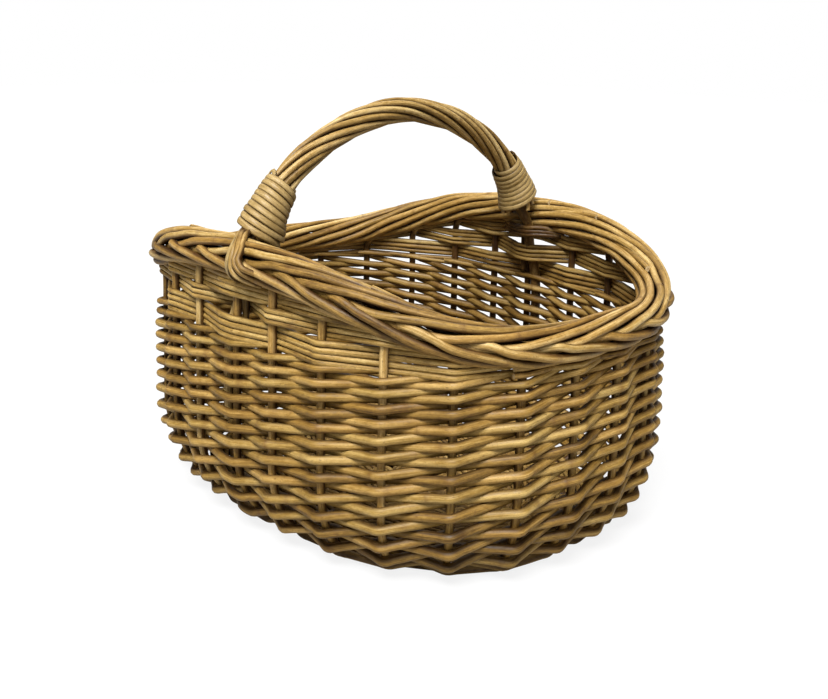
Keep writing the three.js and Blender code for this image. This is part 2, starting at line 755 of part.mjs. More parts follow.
// Lapping: a skein wound round the roped bow just above the border, one turn against the next
function lappingPath() {
  const pitch = lappingWidth + lappingGap;
  const count = lappingTurns * lappingSteps;
  const path = [];
  const lifts = [];
  for (let step = 0; step <= count; step += 1) {
    const distance = lappingStart + lappingWidth / 2 + (pitch * step) / lappingSteps;
    const frame = archFrame(distance);
    const inner = ropingRadiusAt(distance - lappingWidth / 2) + clearance;
    const radius = inner / Math.cos(Math.PI / lappingSteps) + lappingThickness / 2;
    const angle = (2 * Math.PI * step) / lappingSteps;
    const spoke = frame.across.clone().multiplyScalar(Math.cos(angle))
      .addScaledVector(frame.out, Math.sin(angle));
    path.push(frame.point.clone().addScaledVector(spoke, radius));
    lifts.push(spoke);
  }
  const straight = (end, inner) => end.clone().sub(inner).normalize()
    .multiplyScalar(lappingWidth).add(end);
  path.unshift(straight(path[0], path[1]));
  lifts.unshift(lifts[0]);
  path.push(straight(path[path.length - 1], path[path.length - 2]));
  lifts.push(lifts[lifts.length - 1]);
  return { path, lifts };
}

function skeinSection() {
  const half = lappingWidth / 2;
  const thick = lappingThickness / 2;
  return [[half, 0], [half * 0.5, thick], [-half * 0.5, thick], [-half, 0], [0, -thick]].reverse();
}

function leastGap(path) {
  let least = Infinity;
  for (let first = 0; first < path.length; first += 1) {
    for (let second = first + Math.ceil(lappingSteps / 2); second < path.length; second += 1) {
      least = Math.min(least, path[first].distanceTo(path[second]) - lappingWidth);
    }
  }
  return least;
}

// Assembly
for (let stake = 0; stake < stakeCount; stake += 1) {
  addPiece(`stake_${twoDigits(stake)}`, stakeRod(stake), 'stake');
}
for (let rod = 0; rod < stakeCount; rod += 1) {
  addPiece(`rand_rod_${twoDigits(rod)}`, randRod(rod), 'rand');
}
addPiece('base', base(), 'base');
addPiece('upsett_wale', upsettWale(), 'base');
addPiece('packing_near', packing(handleStations[0]), 'packing');
addPiece('packing_far', packing(handleStations[1]), 'packing');
addPiece('handle_bow', handleBow(), 'handle');
addPiece('handle_roping', handleRoping(), 'handle');
const nearLapping = lappingPath();
console.log(`least gap of a lapping to itself: ${leastGap(nearLapping.path).toFixed(2)} mm`);
const farPath = nearLapping.path.map(halfTurnAbout);
const farLifts = nearLapping.lifts.map(halfTurnAbout);
const nearLifts = nearLapping.lifts;
addPiece('lapping_near', tubeGeometry(nearLapping.path, skeinSection, (at) => nearLifts[at]), 'lapping');
addPiece('lapping_far', tubeGeometry(farPath, skeinSection, (at) => farLifts[at]), 'lapping');

export default basket;
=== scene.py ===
import math

import bpy
import numpy as np
from mathutils import Matrix


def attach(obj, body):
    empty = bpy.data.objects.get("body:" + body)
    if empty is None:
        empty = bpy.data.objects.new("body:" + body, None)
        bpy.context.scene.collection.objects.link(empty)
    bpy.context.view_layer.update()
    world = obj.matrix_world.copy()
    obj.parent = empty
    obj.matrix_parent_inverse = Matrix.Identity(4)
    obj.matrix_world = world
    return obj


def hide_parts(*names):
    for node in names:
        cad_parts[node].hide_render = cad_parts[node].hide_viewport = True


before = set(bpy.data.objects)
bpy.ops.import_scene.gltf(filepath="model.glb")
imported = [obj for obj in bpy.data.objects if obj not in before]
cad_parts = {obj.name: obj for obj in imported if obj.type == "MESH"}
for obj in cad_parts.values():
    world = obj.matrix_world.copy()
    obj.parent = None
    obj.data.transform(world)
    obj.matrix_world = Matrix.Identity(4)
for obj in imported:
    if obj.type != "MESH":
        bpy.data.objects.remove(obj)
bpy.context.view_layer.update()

# Base. An oval mat: short sticks laid across long ones, bound together in the middle, and thin
# willow rods paired round and round over and under the fanned ends of the sticks. It is domed a
# little, so that the basket stands on its edge. Lengths are in millimetres up to the room.
STAKE_COUNT = 26
OVAL_POWER = 2.6
BASE_HALF = np.array([172.0, 124.0])
ROLL_OUT = np.array([37.0, 44.0])
BELLY_HALF = BASE_HALF + ROLL_OUT
BASE_HEIGHT = 6.87
BASE_CROWN = 7.0
BASE_STICK = 2.6
BASE_ROD = 2.2
WEAVE_ROUNDS = 20
WEAVE_STEP = 0.25
WEAVE_START = 0.35
WEAVE_SPACE = WEAVE_ROUNDS + 0.6
PAIR_SWAP = 0.3
WEAVE_PAST_EDGE = 2.0
SLATH_HALF = np.array([92.0, 18.6])
STICK_SPACING = 19
STICK_END = 0.97
STICK_STEPS = 8
BINDING_ROD = 1.65
BINDING_TURNS = 4
BINDING_STEPS = 8
BINDING_PITCH = 3.35
BINDING_HALF = np.array([17.5, BASE_STICK + BINDING_ROD])
BINDING_SQUARENESS = 0.35


def oval(angle, half):
    cosine, sine = np.cos(angle), np.sin(angle)
    x = half[..., 0] * np.sign(cosine) * np.abs(cosine) ** (2 / OVAL_POWER)
    y = half[..., 1] * np.sign(sine) * np.abs(sine) ** (2 / OVAL_POWER)
    return np.stack([x, y], -1)


# Stations count the stakes, at even steps round the belly from the near end of the handle
fine_angles = np.linspace(-math.pi / 2, 1.5 * math.pi, 7201)
fine_steps = np.linalg.norm(np.diff(oval(fine_angles, BELLY_HALF), axis=0), axis=1)
fine_stations = np.concatenate([[0.0], np.cumsum(fine_steps)])
stake_spacing = fine_stations[-1] / STAKE_COUNT
fine_stations /= stake_spacing


def angle_at(station):
    return np.interp(np.mod(station, STAKE_COUNT), fine_stations, fine_angles)


def unit(vectors):
    return vectors / np.linalg.norm(vectors, axis=-1, keepdims=True)


# A smooth line through points, with whatever else their further numbers hold, such as a radius
def follow(points, spacing):
    points = np.asarray(points, float)
    longer = np.concatenate([[2 * points[0] - points[1]], points, [2 * points[-1] - points[-2]]])
    stretches = []
    for index in range(len(points) - 1):
        a, b, c, d = longer[index:index + 4]
        steps = max(1, round(float(np.linalg.norm(c[:3] - b[:3])) / spacing))
        t = (np.arange(steps) / steps)[:, None]
        stretches.append(0.5 * (
            2 * b + (c - a) * t
            + (2 * a - 5 * b + 4 * c - d) * t ** 2
            + (3 * b - a - 3 * c + d) * t ** 3
        ))
    stretches.append(points[-1:])
    return np.concatenate(stretches)


# A grown rod's own slow changes: a random value every so often along it, and between in line
def wander(lengths, wave, chance):
    knots = np.arange(0, lengths[-1] + 2 * wave, wave)
    return np.interp(lengths, knots, chance.normal(0, 1, len(knots)))


SIDE_WAVE = 26
LIFT_WAVE = 31
GIRTH_WAVE = 34
GIRTH_CHANGE = 0.022
FIRST_KNOT = (10, 110)
KNOT_SPACING = (55, 150)
KNOT_LENGTH = 1.9
KNOT_SWELL = 0.055
KNOT_STRENGTH = (0.5, 1.0)
TONE_LIMIT = 1.4
# Painted shade on a rod's faces: where it starts, and over how much of a face's turn to the open side it
# fades
PAINTED_SHADE_FROM = 0.03
PAINTED_SHADE_RANGE = 0.75
GRAIN_OFFSET = 4000
GRAIN_SKEW = 0.37
NEARLY_UPRIGHT = 0.9


# A direction square to a line at each of its points, which doesn't twist about it
def carried_lifts(ahead):
    lifts = np.empty_like(ahead)
    upright = abs(ahead[0, 2]) >= NEARLY_UPRIGHT
    carried = np.array([1.0, 0.0, 0.0]) if upright else np.array([0.0, 0.0, 1.0])
    for index, forward in enumerate(ahead):
        carried = carried - forward * carried.dot(forward)
        carried /= math.sqrt(carried.dot(carried))
        lifts[index] = carried
    return lifts


# One rod: a closed tube along a line of points, a little uneven as grown willow is, with a knot
# here and there. Its section may be flattened, and then it keeps its flat side to the lift. Painted
# shade darkens it where it lies against its neighbours, away from its open side and its back.
def rod(line, seed, sides=10, flat=1.0, lift=None, sway=0.22, knots=True,
        open_side=(0.0, 0.0, 1.0), back_open=0.6, fresh=1.0):
    chance = np.random.default_rng(seed)
    line = np.asarray(line, float)
    centre, radius = line[:, :3].copy(), line[:, 3].copy()
    count = len(centre)
    steps = np.linalg.norm(np.diff(centre, axis=0), axis=1)
    along = np.concatenate([[0.0], np.cumsum(steps)])
    ahead = unit(np.gradient(centre, axis=0))
    if lift is None:
        lifts = carried_lifts(ahead)
    else:
        lifts = unit(lift - ahead * np.sum(lift * ahead, axis=1, keepdims=True))
    across = np.cross(ahead, lifts)
    centre += across * (sway * wander(along, SIDE_WAVE, chance))[:, None]
    centre += lifts * (sway * wander(along, LIFT_WAVE, chance))[:, None]
    radius *= 1 + GIRTH_CHANGE * wander(along, GIRTH_WAVE, chance)

    knot = np.zeros(count)
    if knots:
        place = chance.uniform(*FIRST_KNOT)
        while place < along[-1]:
            swell = np.exp(-((along - place) / KNOT_LENGTH) ** 2)
            knot = np.maximum(knot, swell * chance.uniform(*KNOT_STRENGTH))
            place += chance.uniform(*KNOT_SPACING)
        radius *= 1 + KNOT_SWELL * knot

    angles = 2 * math.pi * np.arange(sides) / sides
    sines, cosines = np.sin(angles), np.cos(angles)
    side = (sines[None, :, None] * across[:, None]) * radius[:, None, None]
    rise = (cosines[None, :, None] * lifts[:, None]) * (flat * radius)[:, None, None]
    rings = centre[:, None] + side + rise
    facing = sines[None, :, None] * across[:, None] + cosines[None, :, None] * lifts[:, None]
    # Painted shade, strongest on the faces that turn neither to the open side nor to the back, where the
    # rod lies against its neighbours
    openness = np.sum(facing * np.broadcast_to(open_side, centre.shape)[:, None], axis=-1)
    openness = np.maximum(openness, -back_open * openness)
    openness = np.clip((openness - PAINTED_SHADE_FROM) / PAINTED_SHADE_RANGE, 0, 1)
    crevice_shade = 1 - openness * openness * (3 - 2 * openness)

    offset = chance.uniform(0, GRAIN_OFFSET)
    round_about = np.stack([
        np.repeat(along[:, None] + offset, sides, 1),
        radius[:, None] * cosines[None] + offset,
        radius[:, None] * sines[None] + GRAIN_SKEW * offset,
    ], -1)
    tone, hue = np.clip(chance.normal(0, 1.0, 2), -TONE_LIMIT, TONE_LIMIT)
    shade = np.stack([np.full(count, tone), np.full(count, hue), knot], -1)
    shade = np.repeat(shade[:, None], sides, 1)

    corner = np.arange(sides)[None, :]
    after = (corner + 1) % sides
    ring = np.arange(count - 1)[:, None] * sides
    quads = np.stack([ring + corner, ring + after, ring + sides + after, ring + sides + corner], -1)
    verts = [rings.reshape(-1, 3)]
    grain = [round_about.reshape(-1, 3)]
    shades = [shade.reshape(-1, 3)]
    cuts = [np.zeros(count * sides)]
    crevice_shades = [crevice_shade.reshape(-1)]
    caps = []
    first = count * sides
    for end in (0, count - 1):
        verts += [rings[end], centre[end][None]]
        middle_grain = [along[end] + offset, offset, GRAIN_SKEW * offset]
        grain += [round_about[end], np.array([middle_grain])]
        shades += [shade[end], shade[end][:1]]
        cuts += [np.full(sides, fresh), np.full(1, 2 * fresh)]
        crevice_shades.append(np.zeros(sides + 1))
        spokes = np.stack([corner[0] + first, after[0] + first, np.full(sides, first + sides)], -1)
        caps.append(spokes if end else spokes[:, ::-1])
        first += sides + 1
    return {
        "verts": np.concatenate(verts), "grain": np.concatenate(grain),
        "shade": np.concatenate(shades), "cut": np.concatenate(cuts),
        "crevice_shade": np.concatenate(crevice_shades), "quads": quads.reshape(-1, 4), "caps": np.concatenate(caps),
    }


MILLIMETRES = 1000
FLOOR_GAP = 0.05
ROD_DATA = (("grain", "FLOAT_VECTOR", "vector"), ("shade", "FLOAT_VECTOR", "vector"),
            ("cut", "FLOAT", "value"), ("crevice_shade", "FLOAT", "value"))


# A piece: one or more rods in one mesh, riding on the basket in place of its plain solid
def make_piece(name, rods, material, slot, *nodes, on_floor=False):
    starts = np.cumsum([0] + [len(one["verts"]) for one in rods])[:-1]
    verts = np.concatenate([one["verts"] for one in rods])
    if on_floor:
        verts[:, 2] = np.maximum(verts[:, 2], FLOOR_GAP)
    quads = np.concatenate([one["quads"] + start for one, start in zip(rods, starts)])
    caps = np.concatenate([one["caps"] + start for one, start in zip(rods, starts)])
    mesh = bpy.data.meshes.new(name)
    mesh.vertices.add(len(verts))
    mesh.vertices.foreach_set("co", (verts / MILLIMETRES).astype(np.float32).ravel())
    loops = np.concatenate([quads.ravel(), caps.ravel()]).astype(np.int32)
    mesh.loops.add(len(loops))
    mesh.loops.foreach_set("vertex_index", loops)
    sizes = np.concatenate([np.full(len(quads), 4), np.full(len(caps), 3)])
    firsts = np.concatenate([[0], np.cumsum(sizes)[:-1]]).astype(np.int32)
    mesh.polygons.add(len(sizes))
    mesh.polygons.foreach_set("loop_start", firsts)
    mesh.polygons.foreach_set("use_smooth", sizes == 4)
    for label, kind, field in ROD_DATA:
        data = np.concatenate([one[label] for one in rods]).astype(np.float32)
        mesh.attributes.new(label, kind, "POINT").data.foreach_set(field, data.ravel())
    mesh.update(calc_edges=True)
    mesh.validate()
    mesh.materials.append(material)
    piece = bpy.data.objects.new(name, mesh)
    bpy.context.scene.collection.objects.link(piece)
    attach(piece, "root")
    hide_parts(*nodes)


# A colour as it is seen, 0 to 255, in the light values that a material wants
def srgb(red, green, blue):
    parts = (red, green, blue)
    light = tuple(((part / 255 + 0.055) / 1.055) ** 2.4 if part > 10 else part / 3295 for part in parts)
    return light + (1.0,)


# How often each mark comes, per millimetre along the rod and across it, its detail and roughness
STREAKS = ((0.035, 1.3, 1.3), 4.0, 0.6)
BLOTCHES = ((0.016, 0.11, 0.11), 3.0, 0.55)
MOTTLING = ((0.22, 0.45, 0.45), 3.0, 0.6)
SPECKS = ((0.42, 0.85, 0.85), 1.0, 0.4)
GRIT = ((0.9, 2.1, 2.1), 1.0, 0.5)
STREAK_TONE = 0.9
BLOTCH_TONE = 0.8
MOTTLE_TONE = 0.45
SHADES_AT = (0.12, 0.5, 0.88)
REDDEST = 0.1
REDDISH = 0.08
SPECK_BROWN = (96, 62, 26)
SPECK_EDGE = (0.66, 0.74)
GRIT_BROWN = (92, 64, 28)
GRIT_EDGE = (0.58, 0.72)
GRIT_SHARE = 0.45
KNOT_BROWN = (104, 68, 32)
KNOT_SHARE = 0.55
# Painted shade: its tint, and how much the mottling changes its strength
PAINTED_SHADE_TINT = (106, 85, 52)
PAINTED_SHADE_MOTTLE = 0.9
PAINTED_SHADE_EVEN = 0.5
CUT_WOOD = (222, 196, 146)
PITH_BROWN = (128, 90, 48)
PITH_EDGE = (1.55, 1.9)
PITH_SHARE = 0.6
BARK_GLOSS = 0.38
SMOOTHER = 0.08
ROUGHER = 0.12
STREAK_HEIGHT = 0.6
MOTTLE_HEIGHT = 0.5
KNOT_HEIGHT = 0.7
GRAIN_STRENGTH = 0.5
GRAIN_DEPTH = 0.0005


# Willow: streaks along the rod, slow blotches, dark specks, brown knots and pale cut ends, each
# rod a little lighter, darker, greener or redder than its neighbours
def willow(name, dark, middle, light, warm, rough=0.5, spread=0.1, specks=0.5):
    material = bpy.data.materials.new(name)
    material.use_nodes = True
    nodes, links = material.node_tree.nodes, material.node_tree.links
    shader = nodes["Principled BSDF"]

    def node(kind, inputs=(), **settings):
        made = nodes.new(kind)
        for key, value in settings.items():
            setattr(made, key, value)
        for key, value in dict(inputs).items():
            if isinstance(value, bpy.types.NodeSocket):
                links.new(value, made.inputs[key])
            else:
                made.inputs[key].default_value = value
        return made

    def attribute(label, output):
        return node("ShaderNodeAttribute", attribute_name=label).outputs[output]

    def sums(operation, first, second=0.0, third=0.0):
        return node("ShaderNodeMath", {0: first, 1: second, 2: third}, operation=operation).outputs[0]

    # A value spread about nothing, from one spread about a half
    def about_nothing(value, strength):
        return sums("MULTIPLY_ADD", value, strength, -strength / 2)

    def clamped(value):
        return node("ShaderNodeClamp", {0: value}).outputs[0]

    # A value that goes from low to high between the two limits of an edge
    def ranged(value, edge, low, high):
        return node("ShaderNodeMapRange", {0: value, 1: edge[0], 2: edge[1], 3: low, 4: high}).outputs[0]

    def marks(kind):
        scale, detail, roughness = kind
        spot = node("ShaderNodeVectorMath", {0: grain, 1: scale}, operation="MULTIPLY").outputs[0]
        settings = {"Vector": spot, "Scale": 1.0, "Detail": detail, "Roughness": roughness}
        return node("ShaderNodeTexNoise", settings).outputs["Fac"]

    def ramp(value, *stops):
        made = node("ShaderNodeValToRGB", {"Fac": value})
        elements = made.color_ramp.elements
        while len(elements) < len(stops):
            elements.new(0.5)
        for element, (place, colour) in zip(elements, stops):
            element.position = place
            element.color = colour
        return made.outputs["Color"]

    def mixed(share, first, second, blend="MIX"):
        made = node("ShaderNodeMix", {0: share, 6: first, 7: second}, data_type="RGBA", blend_type=blend)
        return made.outputs[2]

    grain = attribute("grain", "Vector")
    cut = attribute("cut", "Fac")
    crevice_shade = attribute("crevice_shade", "Fac")
    tone, hue, knot = node("ShaderNodeSeparateXYZ", {0: attribute("shade", "Vector")}).outputs
    streak = marks(STREAKS)
    blotch = marks(BLOTCHES)
    mottle = marks(MOTTLING)
    speck = marks(SPECKS)
    grit = marks(GRIT)

    value = sums("MULTIPLY_ADD", tone, spread, 0.5)
    value = sums("ADD", value, about_nothing(streak, STREAK_TONE))
    value = sums("ADD", value, about_nothing(blotch, BLOTCH_TONE))
    value = sums("ADD", value, about_nothing(mottle, MOTTLE_TONE))
    colour = ramp(value, *zip(SHADES_AT, (srgb(*dark), srgb(*middle), srgb(*light))))
    reddening = clamped(sums("MULTIPLY_ADD", hue, REDDEST, REDDISH))
    colour = mixed(reddening, colour, mixed(1.0, colour, srgb(*warm), "MULTIPLY"))
    colour = mixed(ranged(speck, SPECK_EDGE, 0.0, specks), colour, srgb(*SPECK_BROWN))
    colour = mixed(ranged(grit, GRIT_EDGE, 0.0, GRIT_SHARE), colour, srgb(*GRIT_BROWN))
    colour = mixed(sums("MULTIPLY", knot, KNOT_SHARE), colour, srgb(*KNOT_BROWN))
    # Painted shade where rods lie against their neighbours, its strength varied by the mottling
    painted_shade = clamped(sums("MULTIPLY", crevice_shade, sums("MULTIPLY_ADD", mottle, PAINTED_SHADE_MOTTLE, PAINTED_SHADE_EVEN)))
    colour = mixed(painted_shade, colour, mixed(1.0, colour, srgb(*PAINTED_SHADE_TINT), "MULTIPLY"))
    pith = ranged(cut, PITH_EDGE, 0.0, PITH_SHARE)
    colour = mixed(clamped(cut), colour, mixed(pith, srgb(*CUT_WOOD), srgb(*PITH_BROWN)))
    links.new(colour, shader.inputs["Base Color"])
    roughness = ranged(mottle, (0.3, 0.7), rough - SMOOTHER, rough + ROUGHER)
    links.new(roughness, shader.inputs["Roughness"])
    shader.inputs["Specular IOR Level"].default_value = BARK_GLOSS
    height = sums("ADD", sums("MULTIPLY", streak, STREAK_HEIGHT), sums("MULTIPLY", mottle, MOTTLE_HEIGHT))
    height = sums("ADD", height, sums("MULTIPLY", knot, KNOT_HEIGHT))
    bump = node("ShaderNodeBump", {"Height": height, "Strength": GRAIN_STRENGTH, "Distance": GRAIN_DEPTH})
    links.new(bump.outputs["Normal"], shader.inputs["Normal"])
    return material


base_willow = willow(
    "base_willow", (72, 52, 16), (130, 101, 46), (178, 148, 86), (254, 222, 184), rough=0.62)


def base_spot(station, share, lift):
    half = SLATH_HALF + (BASE_HALF + WEAVE_PAST_EDGE - SLATH_HALF) * np.asarray(share)[..., None]
    flat = oval(angle_at(station), half)
    spread = np.sum((np.abs(flat) / BASE_HALF) ** OVAL_POWER, axis=-1) ** (2 / OVAL_POWER)
    return np.concatenate([flat, (BASE_HEIGHT + BASE_CROWN * (1 - spread) + lift)[..., None]], -1)


def base_rods():
    rods = []
    stations = np.arange(0, STAKE_COUNT + 2 * WEAVE_STEP, WEAVE_STEP)
    radius = np.full((len(stations), 1), BASE_ROD)
    for turn in range(WEAVE_ROUNDS):
        for partner in (0, 1):
            swap = PAIR_SWAP * (partner - 0.5) * np.abs(np.sin(math.pi * (stations + 0.5)))
            round_now = turn + WEAVE_START + stations / STAKE_COUNT + swap
            height = (BASE_STICK + BASE_ROD / 2) * np.cos(math.pi * (stations + 0.5 + partner))
            points = base_spot(stations, round_now / WEAVE_SPACE, height)
            line = follow(np.hstack([points, radius]), spacing=3.2)
            rods.append(rod(line, seed=900 + 2 * turn + partner, sides=8))
    return rods


# Ten short sticks, pierced, and three long ones threaded through them, their ends fanned out
def base_sticks():
    ends = [(near, STAKE_COUNT / 2 - near) for near in np.arange(-4.5, 5)]
    ends += [(right, STAKE_COUNT - right) for right in np.arange(5.5, 8)]
    shares = np.linspace(STICK_END, 0, STICK_STEPS)
    level = np.zeros(STICK_STEPS)
    radius = np.full((2 * STICK_STEPS, 1), BASE_STICK)
    rods = []
    for start, end in ends:
        points = np.concatenate([
            base_spot(np.full(STICK_STEPS, start), shares, level),
            base_spot(np.full(STICK_STEPS, end), shares[::-1], level),
        ])
        line = follow(np.hstack([points, radius]), spacing=6)
        rods.append(rod(line, seed=860 + int(start), sides=8))
    return rods


# A thin rod bound round the long sticks, between one short stick and the next
def base_binding():
    turns = np.arange(BINDING_TURNS * BINDING_STEPS + 1) / BINDING_STEPS
    corner = 2 * math.pi * turns
    rods = []
    for space in range(-4, 5):
        x = STICK_SPACING * space + BINDING_PITCH * (turns - BINDING_TURNS / 2)
        y = BINDING_HALF[0] * np.sign(np.cos(corner)) * np.abs(np.cos(corner)) ** BINDING_SQUARENESS
        crown = BASE_CROWN * (x / BASE_HALF[0]) ** 2
        rise = BINDING_HALF[1] * np.sign(np.sin(corner)) * np.abs(np.sin(corner)) ** BINDING_SQUARENESS
        z = BASE_HEIGHT + BASE_CROWN - crown + rise
        line = np.stack([x, y, z, np.full(len(x), BINDING_ROD)], 1)
        rods.append(rod(follow(line, spacing=3), seed=820 + space, sides=8, sway=0.08))
    return rods


base_parts = base_rods() + base_sticks() + base_binding()
make_piece("base_weave", base_parts, base_willow, "base_willow", "base", on_floor=True)

# Stakes and border. Each stake is a stout willow rod pushed into the base, pricked up and run up
# the wall. At the top it is turned down over the outside of the border, goes through to the
# inside, and is rolled over the top with the five before it, so the stakes' tails are the border.
BELLY_HEIGHT = 71.0
RIM_HALF = BELLY_HALF - [4.0, 3.6]
END_RIM_HEIGHT = 176.5
SADDLE_RISE = 42.0
SADDLE_POWER = 3.15
ROLL_FACETS = 5
ROLL_OUT_ABOUT = 40
ALONG_STEP = 0.03
HANDLE_STATION = STAKE_COUNT // 2
STAKE_BUTT = 3.0
STAKE_TOP = 3.15
STAKE_TIP = 2.85
STAKE_BED_DEPTHS = (24.0, 12.0, 5.0)
STAKE_POINTS = 22
PAIR_HALF = 5.4
BORDER_REACH = 11.5
BORDER_STEP = 0.4
BORDER_OPEN_OVER = 6
BORDER_OPEN_FADE = 3
RISER_STOP = 7.0
TAIL_TURN_WANDER = 2.2
TAIL_REACH_WANDER = 0.25
# Stations passed, degrees round the border from its outer side, and share of its reach
BORDER_ROUTE = np.array([
    (0.05, -95, 0.90), (0.30, -84, 0.98), (0.62, -70, 1.01), (1.00, -55, 1.02), (1.50, -36, 1.03),
    (2.00, -17, 1.02), (2.30, -5, 0.96), (2.60, 8, 0.77), (2.95, -50, 0.28), (3.30, 239, 0.77),
    (3.65, 231, 0.96), (4.00, 220, 1.02), (4.50, 203, 1.01), (5.00, 187, 1.00), (5.50, 170, 1.00),
    (6.00, 154, 1.00), (6.50, 137, 1.00), (7.00, 121, 1.00), (7.50, 104, 1.00), (8.00, 88, 1.00),
    (8.50, 72, 1.00), (9.00, 55, 1.00), (9.40, 42, 0.99), (9.80, 28, 0.93), (10.15, 12, 0.82),
    (10.50, -2, 0.62), (11.00, -22, 0.44), (11.80, -60, 0.38), (12.60, -110, 0.36),
])
# A thin tip that ends on top of the border: stations before its end, share of the reach, radius
TIP_ROUTE = np.array([
    (1.40, 0.72, 2.6), (0.90, 0.90, 2.5), (0.45, 1.05, 2.4), (0.15, 1.14, 2.3), (0.00, 1.17, 2.3),
])
TIP_TWIST = 33
# The stakes with such a tip, the station where it ends and degrees round the border there
BORDER_TIPS = {16: (9.3, 112), 18: (11.35, 110), 20: (12.55, 114), 9: (2.7, 100), 5: (24.6, 106)}
stake_willow = willow("stake_willow", (86, 60, 16), (176, 139, 70), (235, 206, 142), (255, 222, 184))


def rim_height(angle):
    return END_RIM_HEIGHT + SADDLE_RISE * np.abs(np.sin(angle)) ** SADDLE_POWER


# The wall rolls out from the base's edge in a quarter round, then rises to the rim. A climb is
# the way up the wall from that edge.
roll_turns = np.linspace(0, math.pi / 2, ROLL_FACETS + 1)
roll_out = ROLL_OUT[0] * np.sin(roll_turns)
roll_up = (BELLY_HEIGHT - BASE_HEIGHT) * (1 - np.cos(roll_turns))
roll_climbs = np.concatenate([[0.0], np.cumsum(np.hypot(np.diff(roll_out), np.diff(roll_up)))])
belly_climb = roll_climbs[-1]


def wall(station, climb):
    station, climb = np.broadcast_arrays(np.asarray(station, float), np.asarray(climb, float))
    angle = angle_at(station)
    turn = np.interp(climb, roll_climbs, roll_turns)
    height = BELLY_HEIGHT + climb - belly_climb
    lean = ((height - BELLY_HEIGHT) / (rim_height(angle) - BELLY_HEIGHT))[..., None]
    low = oval(angle, BASE_HALF + (BELLY_HALF - BASE_HALF) * np.sin(turn)[..., None])
    high = oval(angle, BELLY_HALF + (RIM_HALF - BELLY_HALF) * lean)
    rolling = climb < belly_climb
    flat = np.where(rolling[..., None], low, high)
    rise = np.where(rolling, BASE_HEIGHT + (BELLY_HEIGHT - BASE_HEIGHT) * (1 - np.cos(turn)), height)
    return np.concatenate([flat, rise[..., None]], -1)


# The wall over one station at given heights above the floor, for what stands in its upright part
def wall_at_heights(station, heights):
    return wall(np.full(len(heights), float(station)), belly_climb + heights - BELLY_HEIGHT)


def wall_along(station):
    ahead = oval(angle_at(np.asarray(station) + ALONG_STEP), BELLY_HALF)
    behind = oval(angle_at(np.asarray(station) - ALONG_STEP), BELLY_HALF)
    flat = unit(ahead - behind)
    return np.concatenate([flat, np.zeros_like(flat[..., :1])], -1)


# The wall's outer side, at points on or near it
def wall_open(points):
    across = np.abs(points[:, :2] / BELLY_HALF) ** (OVAL_POWER - 1) / BELLY_HALF
    flat = unit(np.sign(points[:, :2]) * across)
    rise = np.clip((points[:, 2] - BASE_HEIGHT) / (BELLY_HEIGHT - BASE_HEIGHT), 0, 1)
    turn = np.arccos(1 - rise)
    out = (BELLY_HEIGHT - BASE_HEIGHT) * np.sin(turn)
    down = ROLL_OUT_ABOUT * np.cos(turn)
    return unit(np.stack([flat[:, 0] * out, flat[:, 1] * out, -down], -1))


def rim_centre(angle):
    return np.concatenate([oval(angle, RIM_HALF), rim_height(angle)[..., None]], -1)


# Away from the border's middle near it, and elsewhere the wall's outer side
def rim_open(points):
    sides = np.sign(points[:, :2]) * np.abs(points[:, :2] / RIM_HALF) ** (OVAL_POWER / 2)
    away = points - rim_centre(np.arctan2(sides[:, 1], sides[:, 0]))
    near = BORDER_REACH + BORDER_OPEN_OVER - np.linalg.norm(away, axis=1)
    near = np.clip(near / BORDER_OPEN_FADE, 0, 1)[:, None]
    return unit(near * unit(away) + (1 - near) * wall_open(points))


def border_spot(station, turn, reach):
    centre = rim_centre(angle_at(station))
    ahead, behind = (rim_centre(angle_at(station + step)) for step in (BORDER_STEP, -BORDER_STEP))
    along = unit(ahead - behind)
    outward = unit(np.cross(along, [0.0, 0.0, 1.0]))
    turn = np.radians(turn)[..., None]
    return centre + reach[..., None] * (np.cos(turn) * outward + np.sin(turn) * np.cross(outward, along))


def stake_line(stake, chance):
    pair = PAIR_HALF if stake % HANDLE_STATION == 0 else 0.0
    edge = wall(stake, 0.0)
    inward = np.array([*unit(edge[:2] - wall(stake, roll_climbs[1])[:2]), 0.0])
    bed = []
    for depth in STAKE_BED_DEPTHS:
        spot = edge + inward * depth
        share = 1 - depth / np.linalg.norm(edge[:2])
        spot[2] = BASE_HEIGHT + BASE_CROWN * (1 - share ** 2)
        bed.append(spot)
    top = float(rim_height(angle_at(stake))) - BORDER_REACH - RISER_STOP
    climbs = np.linspace(0, belly_climb + top - BELLY_HEIGHT, STAKE_POINTS)
    riser = wall(np.full(STAKE_POINTS, float(stake)), climbs)
    straight = np.concatenate([bed, riser]) + wall_along(float(stake)) * pair
    turns = BORDER_ROUTE[:, 1] + chance.normal(0, TAIL_TURN_WANDER, len(BORDER_ROUTE))
    reaches = BORDER_REACH * BORDER_ROUTE[:, 2] + chance.normal(0, TAIL_REACH_WANDER, len(BORDER_ROUTE))
    tail = border_spot(stake - BORDER_ROUTE[:, 0], turns, reaches)
    radii = np.concatenate([
        np.linspace(STAKE_BUTT, STAKE_TOP, len(straight)),
        np.linspace(STAKE_TOP, STAKE_TIP, len(tail)),
    ])
    return np.hstack([np.concatenate([straight, tail]), radii[:, None]])


# A thin tip cut off on top of the border, where it is left lying between two stakes' tails
def border_tip(station, turn):
    passed, share, radius = TIP_ROUTE.T
    points = border_spot(station + passed, turn + TIP_TWIST * passed, BORDER_REACH * share)
    return np.hstack([points, radius[:, None]])


def border_rod(points, seed, sway):
    line = follow(points, spacing=2.2)
    return rod(line, seed, sides=12, sway=sway, open_side=rim_open(line[:, :3]), back_open=0)


